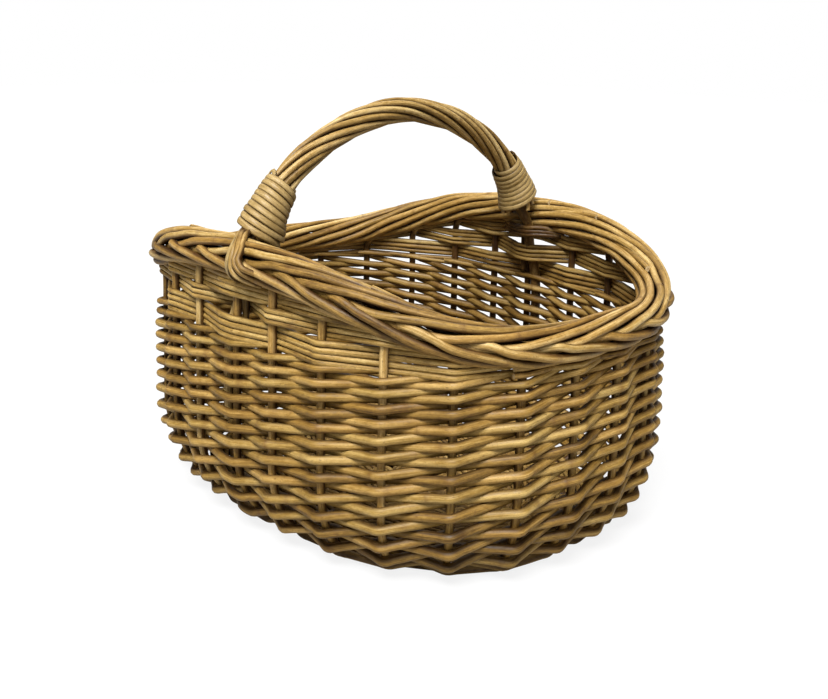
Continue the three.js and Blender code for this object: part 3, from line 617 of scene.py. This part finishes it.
for stake in range(STAKE_COUNT):
    points = stake_line(stake, np.random.default_rng(100 + stake))
    stake_rods = [border_rod(points, seed=200 + stake, sway=0.15)]
    if stake in BORDER_TIPS:
        stake_rods.append(border_rod(border_tip(*BORDER_TIPS[stake]), seed=240 + stake, sway=0.1))
    stake_name = f"stake_{stake:02d}"
    make_piece(f"willow_{stake_name}", stake_rods, stake_willow, "stake_willow", stake_name)

# Upsett wale. A stout rod worked round the foot of the stakes three times, in front of two and
# behind one, packed down tight. It sets the stakes' spacing, and the basket stands on it.
WALE_ROUNDS = 3
WALE_ROD = 3.15
WALE_PACKED = 2.5
WALE_START = 2.9
WALE_PITCH = 5.56
WALE_SQUEEZE = -1.3
OUT_STEP = 4.4
PAIR_PASSING = PAIR_HALF + 1
STRAIGHT_PARTS = (0.2, 0.5, 0.8)


def wall_out(station, climb):
    rise = wall(station, np.asarray(climb) + OUT_STEP) - wall(station, np.maximum(climb - OUT_STEP, 0))
    return unit(np.cross(wall_along(station), rise))


half_turns = [
    math.acos(float(np.clip(wall_along(stake).dot(wall_along(stake + 1)), -1, 1))) / 2
    for stake in range(STAKE_COUNT)
]


# The line of a rod woven past stakes: it bends where it passes one, in front or behind, and runs
# straight to the next. A handle station has two rods side by side to pass, and inside the wall
# a thin rod may have to leave room for the handle's leg as well.
def woven(stations, climbs, sides, radii, gap=-0.5, leg_room=0.0):
    way = 1 if stations[-1] > stations[0] else -1
    spots = []
    for station, climb, side, radius in zip(stations, climbs, sides, radii):
        touching = STAKE_BUTT + radius + gap
        slope = math.atan(2 * touching / stake_spacing)
        curve = max(half_turns[int(station) % STAKE_COUNT], half_turns[int(station - 1) % STAKE_COUNT])
        offset = side * touching / math.cos(slope + curve if side > 0 else slope)
        at_handle = station % HANDLE_STATION == 0
        if side < 0 and at_handle:
            offset -= leg_room
        middle = wall(station, climb) + wall_out(station, climb) * offset
        step = wall_along(station) * way * (PAIR_PASSING if at_handle else 0)
        spots.append((np.append(middle - step, radius), np.append(middle + step, radius)))
    points = []
    for index, (arrive, leave) in enumerate(spots):
        points.append(arrive)
        if stations[index] % HANDLE_STATION == 0:
            points.append(leave)
        if index + 1 < len(spots):
            points += [leave + (spots[index + 1][0] - leave) * part for part in STRAIGHT_PARTS]
    return np.array(points)


def wale_line():
    strokes = np.arange(0, WALE_ROUNDS * STAKE_COUNT)
    sides = np.where(strokes % 3 != 2, 1, -1)
    climbs = WALE_START + strokes / STAKE_COUNT * WALE_PITCH
    return woven(strokes, climbs, sides, np.full(len(strokes), WALE_ROD), WALE_SQUEEZE)


wale = follow(wale_line(), spacing=2.4)
wale_rod = rod(wale, seed=77, open_side=wall_open(wale[:, :3]))
make_piece("wale", [wale_rod], base_willow, "base_willow", "upsett_wale", on_floor=True)

# French randing. A willow rod is started behind every stake, and each is worked in turn in
# front of one stake and behind the next, climbing as it goes, until the wall is full. The butts
# are at the bottom, so the rods grow thinner up the wall.
RAND_BUTT = 3.55
RAND_MIDDLE = 3.42
RAND_TIP = 2.5
RAND_STROKES = 24
THINNING_STROKE = 19
CLEARANCE = 0.35
# The radii that the rods are packed to, which set how far each stroke climbs
PACKED_BUTT = 2.9
PACKED_TIP = 2.3
PACKED_STAKE = 2.75
BEND_ALLOWANCE = 1.055
END_TRAVEL = 9.0
BEHIND_SHARE = 0.42
TIP_CROWDING = 0.045
LEVEL_WANDER = 0.42
TIP_DROP = 0.7
END_FRESHNESS = 0.4
rand_willow = willow("rand_willow", (82, 57, 15), (158, 124, 57), (209, 177, 108), (255, 220, 180))


def rand_levels():
    wale_top = WALE_PACKED + CLEARANCE + (WALE_ROUNDS - 1) * WALE_PITCH + WALE_PACKED
    ceiling = belly_climb + END_RIM_HEIGHT - BORDER_REACH - PACKED_STAKE - CLEARANCE - BELLY_HEIGHT
    levels, radii = [wale_top + PACKED_BUTT + 2 * CLEARANCE], [PACKED_BUTT]
    while levels[-1] + radii[-1] < ceiling:
        share = (levels[-1] - levels[0]) / (ceiling - levels[0])
        radius = PACKED_BUTT + (PACKED_TIP - PACKED_BUTT) * share
        inside = STAKE_BUTT + radius + CLEARANCE
        crowding = 1 - math.pi / 2 * inside / belly_climb if levels[-1] < belly_climb else 1
        levels.append(levels[-1] + BEND_ALLOWANCE * (radii[-1] + radius + CLEARANCE) / crowding)
        radii.append(radius)
    levels = np.array(levels[:RAND_STROKES + 1])
    span = levels[-1] - levels[0]
    share = (levels - levels[0]) / span
    return levels + TIP_CROWDING * span * (share - share ** 5)


rand_climbs = rand_levels()


def rand_line(first, chance):
    strokes = np.arange(RAND_STROKES + 1)
    climbs = rand_climbs + chance.normal(0, LEVEL_WANDER, RAND_STROKES + 1)
    behind = strokes[2:-1:2]
    climbs[behind] = climbs[behind - 1] + (climbs[behind + 1] - climbs[behind - 1]) * BEHIND_SHARE
    radii = np.interp(strokes, [0, THINNING_STROKE, RAND_STROKES], [RAND_BUTT, RAND_MIDDLE, RAND_TIP])
    line = woven(first + strokes, climbs, np.where(strokes % 2 == 1, 1, -1), radii)
    butt = line[0] - np.append(wall_along(first) * END_TRAVEL, 0)
    tip = line[-1] + np.append(wall_along(first + RAND_STROKES) * END_TRAVEL, -TIP_DROP)
    return np.vstack([butt, line, tip])


for first in range(STAKE_COUNT):
    line = follow(rand_line(first, np.random.default_rng(300 + first)), spacing=2.4)
    rand_rod = rod(line, seed=400 + first, open_side=wall_open(line[:, :3]), fresh=END_FRESHNESS)
    rand_name = f"rand_rod_{first:02d}"
    make_piece(f"willow_rand_{first:02d}", [rand_rod], rand_willow, "rand_willow", rand_name)

# Packing. Thin rods worked to and fro in a group on each long side only, four, three and five at
# a time, or four each on the far side, to build the wall up to the raised rim under the handle.
# They run past the last stake of a row, and are pressed down where the border comes low.
NEAR_PACKING = ((4, 2.45), (3, 2.05), (5, 2.15))
FAR_PACKING = ((4, 2.45), (4, 2.05), (4, 2.15))
PACKING_START = 2.4
PACKING_SQUEEZE = 0.12
PACKING_REACH = 7
PACKING_GIRTH = 1.05
PACKING_UNEVEN = 0.08
PACKING_TAPER = 0.012
PACKING_GAP = -1.2
PACKING_WANDER = 0.15
LEG_ROOM = 9.5
SAG = 2.0
TUCK = 5.5
rand_top = BELLY_HEIGHT + rand_climbs[-1] + PACKED_TIP - belly_climb
packing_willow = willow("packing_willow", (88, 62, 18), (180, 145, 76), (232, 206, 139), (255, 222, 184))


def under_border(station):
    return float(rim_height(angle_at(station))) - BORDER_REACH - STAKE_TOP


# How many stakes a rod passes one way before the border comes down too low for it
def packing_reach(middle, way, level):
    reach = 0
    while reach < PACKING_REACH and under_border(middle + way * (reach + 1)) > level - TUCK:
        reach += 1
    return reach


def packing_line(middle, row, level, thickness, chance):
    places = np.arange(-packing_reach(middle, -1, level) - 1, packing_reach(middle, 1, level) + 2)
    room = np.array([under_border(middle + place) for place in places]) + TUCK
    levels = np.minimum(level, room) + chance.normal(0, PACKING_WANDER, len(places))
    sides = np.where((places + row) % 2 == 0, 1, -1)
    levels = levels - np.where(sides < 0, SAG, SAG if row == 0 else 0)
    uneven = PACKING_UNEVEN * chance.uniform(0, 1)
    radii = thickness * (PACKING_GIRTH - uneven - PACKING_TAPER * np.abs(places))
    climbs = belly_climb + levels - BELLY_HEIGHT
    line = woven(middle + places, climbs, sides, radii, PACKING_GAP, LEG_ROOM)
    start = line[0] - np.append(wall_along(middle + places[0]) * END_TRAVEL, 0)
    end = line[-1] + np.append(wall_along(middle + places[-1]) * END_TRAVEL, 0)
    return np.vstack([start, line, end])


def packing_rods(middle, rows, seed):
    bottom = rand_top - PACKING_START
    made = []
    for row, (rods, thickness) in enumerate(rows):
        for lane in range(rods):
            level = bottom + (2 * lane + 1) * (thickness - PACKING_SQUEEZE)
            rod_seed = seed + 10 * row + lane
            chance = np.random.default_rng(rod_seed)
            line = follow(packing_line(middle, row, level, thickness, chance), spacing=2.0)
            made.append(rod(line, rod_seed + 50, sides=8, sway=0.16,
                            open_side=wall_open(line[:, :3]), fresh=END_FRESHNESS))
        bottom += 2 * rods * (thickness - PACKING_SQUEEZE)
    return made


near_packing = packing_rods(0, NEAR_PACKING, seed=500)
far_packing = packing_rods(HANDLE_STATION, FAR_PACKING, seed=600)
make_piece("packing_rods_near", near_packing, packing_willow, "packing_willow", "packing_near")
make_piece("packing_rods_far", far_packing, packing_willow, "packing_willow", "packing_far")

# Handle bow. One thick rod bent over the basket from side to side. Its slyped ends pass inside
# the border and are driven down through the weave, each beside the middle stake of its side,
# with a short wedge beside it.
BOW_INSET = 23.4
BOW_HALF_SPAN = RIM_HALF[1] - BOW_INSET
BOW_SIDE = 0.8
BOW_RISE = 97.0
BOW_POWER = 1.1
BOW_ROD = 5.2
ROPING_START = 11.0
ARCH_STEPS = 600
ARCH_STRIDE = 20
HANDLE_RIM = END_RIM_HEIGHT + SADDLE_RISE
LEG_ROD = 2.75
LEG_BUTT = 4.6
LEG_TIP = 4.3
LEG_SIDE = -4.8
LEG_DEPTH = 125.0
LEG_LOW_TOP = 30.0
LEG_LEAN = [0.6, 2.4, 6.0, 11.0]
LEG_TURNS = np.radians([218, 196])
LEG_PASSING_TILT = math.radians(15)
PASSED_ROD = 2.8
LEG_STEPS = 8
WEDGE_DEPTHS = np.linspace(53, 6, 9)
WEDGE_INSET = np.linspace(7.5, 12.5, 9)
WEDGE_SIDE = np.linspace(5.0, 0.0, 9)
WEDGE_RADII = np.linspace(2.4, 3.3, 9)
handle_willow = willow(
    "handle_willow", (86, 60, 18), (174, 139, 74), (236, 207, 144), (255, 222, 186), rough=0.46)


def arch_point(turn):
    cosine = np.cos(turn)
    rise = np.abs(np.sin(turn)) ** BOW_POWER
    return np.stack([
        -BOW_SIDE * cosine,
        -BOW_HALF_SPAN * np.sign(cosine) * np.abs(cosine) ** BOW_POWER,
        HANDLE_RIM + BOW_RISE * rise,
    ], -1)


first_turn = math.asin((ROPING_START / BOW_RISE) ** (1 / BOW_POWER))
arch_fine = arch_point(np.linspace(first_turn, math.pi - first_turn, ARCH_STEPS + 1))


# The same points at the far side of the basket, which is the near side turned half round
def half_turn(points):
    turned = np.array(points, float)
    turned[..., :2] *= -1
    return turned


def leg_points():
    passing = (BORDER_REACH + PASSED_ROD + LEG_ROD + CLEARANCE) / math.cos(LEG_PASSING_TILT)
    low = wall_at_heights(0, np.linspace(HANDLE_RIM - LEG_DEPTH, HANDLE_RIM - LEG_LOW_TOP, LEG_STEPS))
    low[-len(LEG_LEAN):, 1] += LEG_LEAN
    high = np.stack([
        0 * LEG_TURNS,
        -RIM_HALF[1] - passing * np.cos(LEG_TURNS),
        HANDLE_RIM + passing * np.sin(LEG_TURNS),
    ], -1)
    points = np.concatenate([low, high])
    points[:, 0] = LEG_SIDE
    return points


def bow_line():
    leg = leg_points()
    arch = arch_fine[::ARCH_STRIDE]
    points = np.concatenate([leg, arch, half_turn(leg)[::-1]])
    taper = np.linspace(LEG_TIP, LEG_BUTT, len(leg))
    radii = np.concatenate([taper, np.full(len(arch), BOW_ROD), taper[::-1]])
    return np.hstack([points, radii[:, None]])


# A wedge driven down inside the leg and the stake beside it
def wedge_line():
    points = wall_at_heights(0, HANDLE_RIM - WEDGE_DEPTHS)
    points[:, 1] += WEDGE_INSET
    points[:, 0] = WEDGE_SIDE
    return points


def bow_rods():
    routes = [bow_line()]
    for points in (wedge_line(), half_turn(wedge_line())):
        routes.append(np.hstack([points, WEDGE_RADII[:, None]]))
    rods = []
    for index, route in enumerate(routes):
        line = follow(route, spacing=4)
        rods.append(rod(line, 700 + index, sides=12, open_side=wall_open(line[:, :3]), back_open=0.15))
    return rods


make_piece("bow", bow_rods(), handle_willow, "handle_willow", "handle_bow")

# Roping. Nine thin willow rods are laid together round the bow in a slow twist from one foot to
# the other. At each foot three of them are brought down over the outside of the border, tucked
# in beneath it, and drawn across inside the leg, which ties the handle on.
ROPING_RODS = 9
ROPING_ROD = 2.5
ROPING_REACH = 7.5
ROPING_PITCH = 255.0
ROPING_POINTS = 44
ROPING_TURN_WANDER = 0.06
ROPING_TURN_WAVE = 40
ROPING_REACH_WANDER = 0.3
ROPING_REACH_WAVE = 30
ROPING_ENDS = (-7, -1)
FOOT_LENGTH = 44.0
FOOT_SPREAD = 4.6
FOOT_POWER = 1.2
BOW_STEP = 1.5
TIE_ROD = 2.1
TIE_WANDER = 0.25
# The middle tie at the near foot, how much higher the next one lies at each of its points, and
# how far aside while they are outside
TIE_ROUTE = np.array([
    (-2.0, -140.0, 252.0), (-0.5, -145.0, 244.8), (1.5, -150.0, 239.2), (5.4, -156.0, 236.0),
    (12.0, -163.5, 235.0), (18.4, -170.5, 232.0), (25.0, -177.0, 226.8), (28.0, -181.0, 221.0),
    (29.6, -182.0, 217.0), (33.4, -181.6, 214.0), (36.6, -177.8, 211.0), (38.5, -171.0, 208.0),
    (32.0, -163.0, 204.8), (23.0, -156.5, 203.6), (7.4, -147.5, 203.8), (-9.0, -142.5, 204.4),
    (-21.0, -147.0, 205.2), (-31.0, -156.5, 204.6), (-37.0, -163.0, 204.0),
])
TIE_RISE = np.array([
    0, 0, 0, -0.3, -0.5, -0.8, -0.6, 0.6, 2.4, 3.3, 3.6, 3.7, 3.6, 3.5, 3.4, 3.4, 3.3, 3.0, 2.6,
])
TIES_APART = np.linspace(2.6, 5.2, 12)

arch_lengths = np.concatenate([[0.0], np.cumsum(np.linalg.norm(np.diff(arch_fine, axis=0), axis=1))])
arch_length = arch_lengths[-1]


def arch_at(distance):
    return np.stack([np.interp(distance, arch_lengths, arch_fine[:, axis]) for axis in range(3)], -1)


# The bow at a distance along its arch, and past its ends in line with them: the point, the way
# along, the way across the basket's length, and the way out
def arch_frame(distance):
    inside = np.clip(distance, 0, arch_length)
    ahead = np.clip(inside + BOW_STEP, 0, arch_length)
    behind = np.clip(inside - BOW_STEP, 0, arch_length)
    along = unit(arch_at(ahead) - arch_at(behind))
    point = arch_at(inside) + along * (distance - inside)[..., None]
    across = unit(np.array([1.0, 0.0, 0.0]) - along * along[..., :1])
    return point, along, across, np.cross(across, along)


def roping_rods():
    rods = []
    for strand in range(ROPING_RODS):
        chance = np.random.default_rng(720 + strand)
        ends = chance.uniform(*ROPING_ENDS, 2)
        distances = np.linspace(ends[0], arch_length - ends[1], ROPING_POINTS)
        point, _, across, out = arch_frame(distances)
        turn = 2 * math.pi * (strand / ROPING_RODS - distances / ROPING_PITCH)
        turn = turn + ROPING_TURN_WANDER * wander(distances - distances[0], ROPING_TURN_WAVE, chance)
        foot = np.clip(1 - np.minimum(distances, arch_length - distances) / FOOT_LENGTH, 0, 1)
        reach = ROPING_REACH + FOOT_SPREAD * foot ** FOOT_POWER
        reach = reach + ROPING_REACH_WANDER * wander(distances - distances[0], ROPING_REACH_WAVE, chance)
        spoke = np.cos(turn)[:, None] * across + np.sin(turn)[:, None] * out
        radius = np.full((ROPING_POINTS, 1), ROPING_ROD)
        line = follow(np.hstack([point + reach[:, None] * spoke, radius, spoke]), spacing=3)
        rods.append(rod(line[:, :4], 740 + strand, sides=12, open_side=unit(line[:, 4:]), back_open=0))
    return rods


def tie_line(tie, chance):
    points = TIE_ROUTE.copy()
    points[:len(TIES_APART), 0] += (tie - 1) * TIES_APART
    points[:, 2] += (tie - 1) * TIE_RISE
    points[1:] += chance.normal(0, TIE_WANDER, (len(points) - 1, 3))
    return points


def ties():
    radius = np.full((len(TIE_ROUTE), 1), TIE_ROD)
    rods = []
    for tie in range(3):
        near = tie_line(tie, np.random.default_rng(760 + tie))
        far = half_turn(tie_line(tie, np.random.default_rng(770 + tie)))
        rods.append(border_rod(np.hstack([near, radius]), seed=780 + tie, sway=0.1))
        rods.append(border_rod(np.hstack([far, radius]), seed=785 + tie, sway=0.1))
    return rods


make_piece("roping", roping_rods() + ties(), handle_willow, "handle_willow", "handle_roping")

# Lapping. A skein, which is a willow rod split and shaved flat, wound nine times round each foot
# of the handle over the roping, each turn against the last, with its tail tucked in at the top.
LAPPING_TURNS = 9
LAPPING_PITCH = 4.6
LAPPING_START = 0.2
LAPPING_FIRST_TURN = math.radians(-60)
LAPPING_SLANT = 5.2
SLANT_SIDE = math.radians(133)
LAPPING_LIFT = 2.4
LAPPING_WANDER = 0.15
LAPPING_PITCH_WAVE = 16
LAPPING_REACH_WAVE = 9
POINTS_PER_TURN = 16
TIE_BULGE = 5.0
TIE_BULGE_LENGTH = 24.0
TIE_SIDE = math.radians(72)
TUCK_DEPTH = 2.4
TUCK_TURNS = 0.3
SKEIN_HALF = 2.55
SKEIN_END_HALF = 1.9
SKEIN_FLAT = 0.42
# Distance along the bow, degrees round it and reach from its middle
LOOP_ROUTE = np.array([
    (34.0, 124, 11.0), (38.5, 121, 11.8), (41.5, 117, 12.4), (43.6, 110, 12.6), (44.4, 101, 12.4),
    (43.6, 92, 12.0), (41.8, 86, 11.6), (39.0, 82, 11.2), (34.0, 80, 10.6),
])
TAIL_ROUTE = np.array([
    (-5.0, -143.0, 247.0), (-3.0, -149.0, 239.5), (1.5, -156.5, 235.2), (9.5, -166.5, 235.0),
    (16.0, -174.0, 232.0), (18.8, -178.8, 227.6), (19.2, -181.4, 221.8), (18.4, -181.8, 216.2),
    (16.6, -179.6, 209.8), (14.0, -173.5, 204.0), (12.0, -166.0, 201.0),
])
skein_willow = willow(
    "skein_willow", (130, 102, 50), (186, 158, 102), (224, 200, 146), (255, 232, 206),
    rough=0.42, spread=0.05, specks=0.25)


# The winding: its points, half the skein's width, and the way that its flat side faces
def lapping(chance):
    steps = np.linspace(0, LAPPING_TURNS, LAPPING_TURNS * POINTS_PER_TURN + 1)
    turn = 2 * math.pi * steps + LAPPING_FIRST_TURN
    slant = LAPPING_SLANT * (1 - steps / LAPPING_TURNS) * np.cos(turn - SLANT_SIDE)
    wobble = LAPPING_WANDER * wander(steps * POINTS_PER_TURN, LAPPING_PITCH_WAVE, chance)
    distance = LAPPING_START + LAPPING_PITCH * steps + slant + wobble
    point, along, across, out = arch_frame(distance)
    spread = FOOT_SPREAD * np.clip(1 - distance / FOOT_LENGTH, 0, 1) ** FOOT_POWER
    toward_ties = np.maximum(0, np.cos(turn - TIE_SIDE)) ** 2
    bulge = TIE_BULGE * toward_ties * np.clip(1 - distance / TIE_BULGE_LENGTH, 0, 1)
    tucked = TUCK_DEPTH * np.clip(1 - np.minimum(steps, LAPPING_TURNS - steps) / TUCK_TURNS, 0, 1)
    wobble = LAPPING_WANDER * wander(steps * POINTS_PER_TURN, LAPPING_REACH_WAVE, chance)
    reach = ROPING_REACH + ROPING_ROD + LAPPING_LIFT + spread + bulge - tucked + wobble
    spoke = np.cos(turn)[:, None] * across + np.sin(turn)[:, None] * out
    over_ties = TIE_BULGE / TIE_BULGE_LENGTH * toward_ties * (distance < TIE_BULGE_LENGTH)
    facing = spoke + along * (FOOT_SPREAD / FOOT_LENGTH + over_ties)[:, None]
    return point + reach[:, None] * spoke, SKEIN_HALF, facing


# The skein's two ends: a loop tucked in at the top, and a tail drawn down over the border
def skein_loop():
    distance, turn, reach = LOOP_ROUTE.T
    turn = np.radians(turn)[:, None]
    point, _, across, out = arch_frame(distance)
    spoke = np.cos(turn) * across + np.sin(turn) * out
    return point + reach[:, None] * spoke, SKEIN_END_HALF, spoke


def skein_tail():
    return TAIL_ROUTE, SKEIN_END_HALF, rim_open(TAIL_ROUTE)


def skein(seed, far):
    stretches = (lapping(np.random.default_rng(seed)), skein_loop(), skein_tail())
    rods = []
    for index, (points, half, facing) in enumerate(stretches):
        if far:
            points, facing = half_turn(points), half_turn(facing)
        line = follow(np.hstack([points, np.full((len(points), 1), half), facing]), spacing=1.6)
        facing = unit(line[:, 4:])
        rods.append(rod(line[:, :4], seed + 5 + index, flat=SKEIN_FLAT, lift=facing, sway=0.05, knots=False,
                        open_side=facing, back_open=0))
    return rods


near_skein = skein(seed=800, far=False)
far_skein = skein(seed=810, far=True)
make_piece("skein_near", near_skein, skein_willow, "skein_willow", "lapping_near")
make_piece("skein_far", far_skein, skein_willow, "skein_willow", "lapping_far")

# The room. A pale paper floor that keeps the basket's soft shadow, plain soft studio lamps, and
# the camera where the photograph was taken from. Lengths here are in metres.
FLOOR_HALF = 6.0
PAPER_GREY = 0.36
PAPER_ROUGHNESS = 0.9
PAPER_WHITE = 1.42
PAPER_WHITE_SHARE = 0.6
SKY_STRENGTH = 0.11


# One where the camera itself looks, and nothing for the light that goes on from there
def camera_looks(tree):
    return tree.nodes.new("ShaderNodeLightPath").outputs["Is Camera Ray"]


def blended(tree, share, first, second, target):
    blend = tree.nodes.new("ShaderNodeMixShader")
    tree.links.new(share, blend.inputs[0])
    tree.links.new(first.outputs[0], blend.inputs[1])
    tree.links.new(second.outputs[0], blend.inputs[2])
    tree.links.new(blend.outputs[0], target.inputs["Surface"])


floor_mesh = bpy.data.meshes.new("floor")
floor_corners = [(x * FLOOR_HALF, y * FLOOR_HALF, 0) for x, y in ((-1, -1), (1, -1), (1, 1), (-1, 1))]
floor_mesh.from_pydata(floor_corners, [], [(0, 1, 2, 3)])
floor = bpy.data.objects.new("floor", floor_mesh)
bpy.context.scene.collection.objects.link(floor)
paper = bpy.data.materials.new("paper")
paper.use_nodes = True
matt = paper.node_tree.nodes["Principled BSDF"]
matt.inputs["Base Color"].default_value = (PAPER_GREY, PAPER_GREY, PAPER_GREY, 1)
matt.inputs["Roughness"].default_value = PAPER_ROUGHNESS
matt.inputs["Specular IOR Level"].default_value = 0.0
white = paper.node_tree.nodes.new("ShaderNodeEmission")
white.inputs["Strength"].default_value = PAPER_WHITE
whiter = paper.node_tree.nodes.new("ShaderNodeMath")
whiter.operation = "MULTIPLY"
paper.node_tree.links.new(camera_looks(paper.node_tree), whiter.inputs[0])
whiter.inputs[1].default_value = PAPER_WHITE_SHARE
blended(paper.node_tree, whiter.outputs[0], matt, white, paper.node_tree.nodes["Material Output"])
floor_mesh.materials.append(paper)

world = bpy.data.worlds.new("studio")
bpy.context.scene.world = world
world.use_nodes = True
sky = world.node_tree.nodes["Background"]
sky.inputs["Color"].default_value = (1, 1, 1, 1)
sky.inputs["Strength"].default_value = SKY_STRENGTH
backdrop = world.node_tree.nodes.new("ShaderNodeBackground")
backdrop.inputs["Color"].default_value = (1, 1, 1, 1)
camera_ray = camera_looks(world.node_tree)
blended(world.node_tree, camera_ray, sky, backdrop, world.node_tree.nodes["World Output"])


# Turns a lamp or a camera to look along minus back, with its own right and top, from its place
def stand(name, data, right, top, back, place):
    holder = bpy.data.objects.new(name, data)
    turned = np.stack([right, top, back, place], 1)
    holder.matrix_world = Matrix([*turned.tolist(), [0, 0, 0, 1]])
    bpy.context.scene.collection.objects.link(holder)
    return holder


def lamp(name, place, strength, softness):
    light = bpy.data.lights.new(name, "SUN")
    light.energy = strength
    light.angle = math.radians(softness)
    back = unit(np.array(place))
    right = unit(np.cross([0.0, 0.0, 1.0], back))
    stand(name, light, right, np.cross(back, right), back, np.array(place))


lamp("key", (0.55, -1.0, 1.85), strength=4.7, softness=30)
lamp("fill", (1.3, -0.7, 0.8), strength=0.5, softness=50)
lamp("rear", (-1.0, 1.0, 1.0), strength=0.7, softness=60)

CAMERA_PLACE = np.array([0.63902, -0.58318, 0.37414])
AZIMUTH = math.radians(46.83)
ELEVATION = math.radians(16.53)
ROLL = math.radians(1.42)
FOCAL_IN_PIXELS = 1066.63
PHOTO_WIDTH = 828
SENSOR_WIDTH = 36

level = math.cos(ELEVATION)
back = np.array([math.sin(AZIMUTH) * level, -math.cos(AZIMUTH) * level, math.sin(ELEVATION)])
right = np.array([math.cos(AZIMUTH), math.sin(AZIMUTH), 0.0])
above = np.cross(back, right)
tilted_right = right * math.cos(ROLL) + above * math.sin(ROLL)
tilted_top = above * math.cos(ROLL) - right * math.sin(ROLL)
lens = bpy.data.cameras.new("camera")
lens.sensor_width = SENSOR_WIDTH
lens.lens = SENSOR_WIDTH * FOCAL_IN_PIXELS / PHOTO_WIDTH
camera = stand("camera", lens, tilted_right, tilted_top, back, CAMERA_PLACE)
bpy.context.scene.camera = camera
bpy.context.scene.view_settings.view_transform = "Standard"
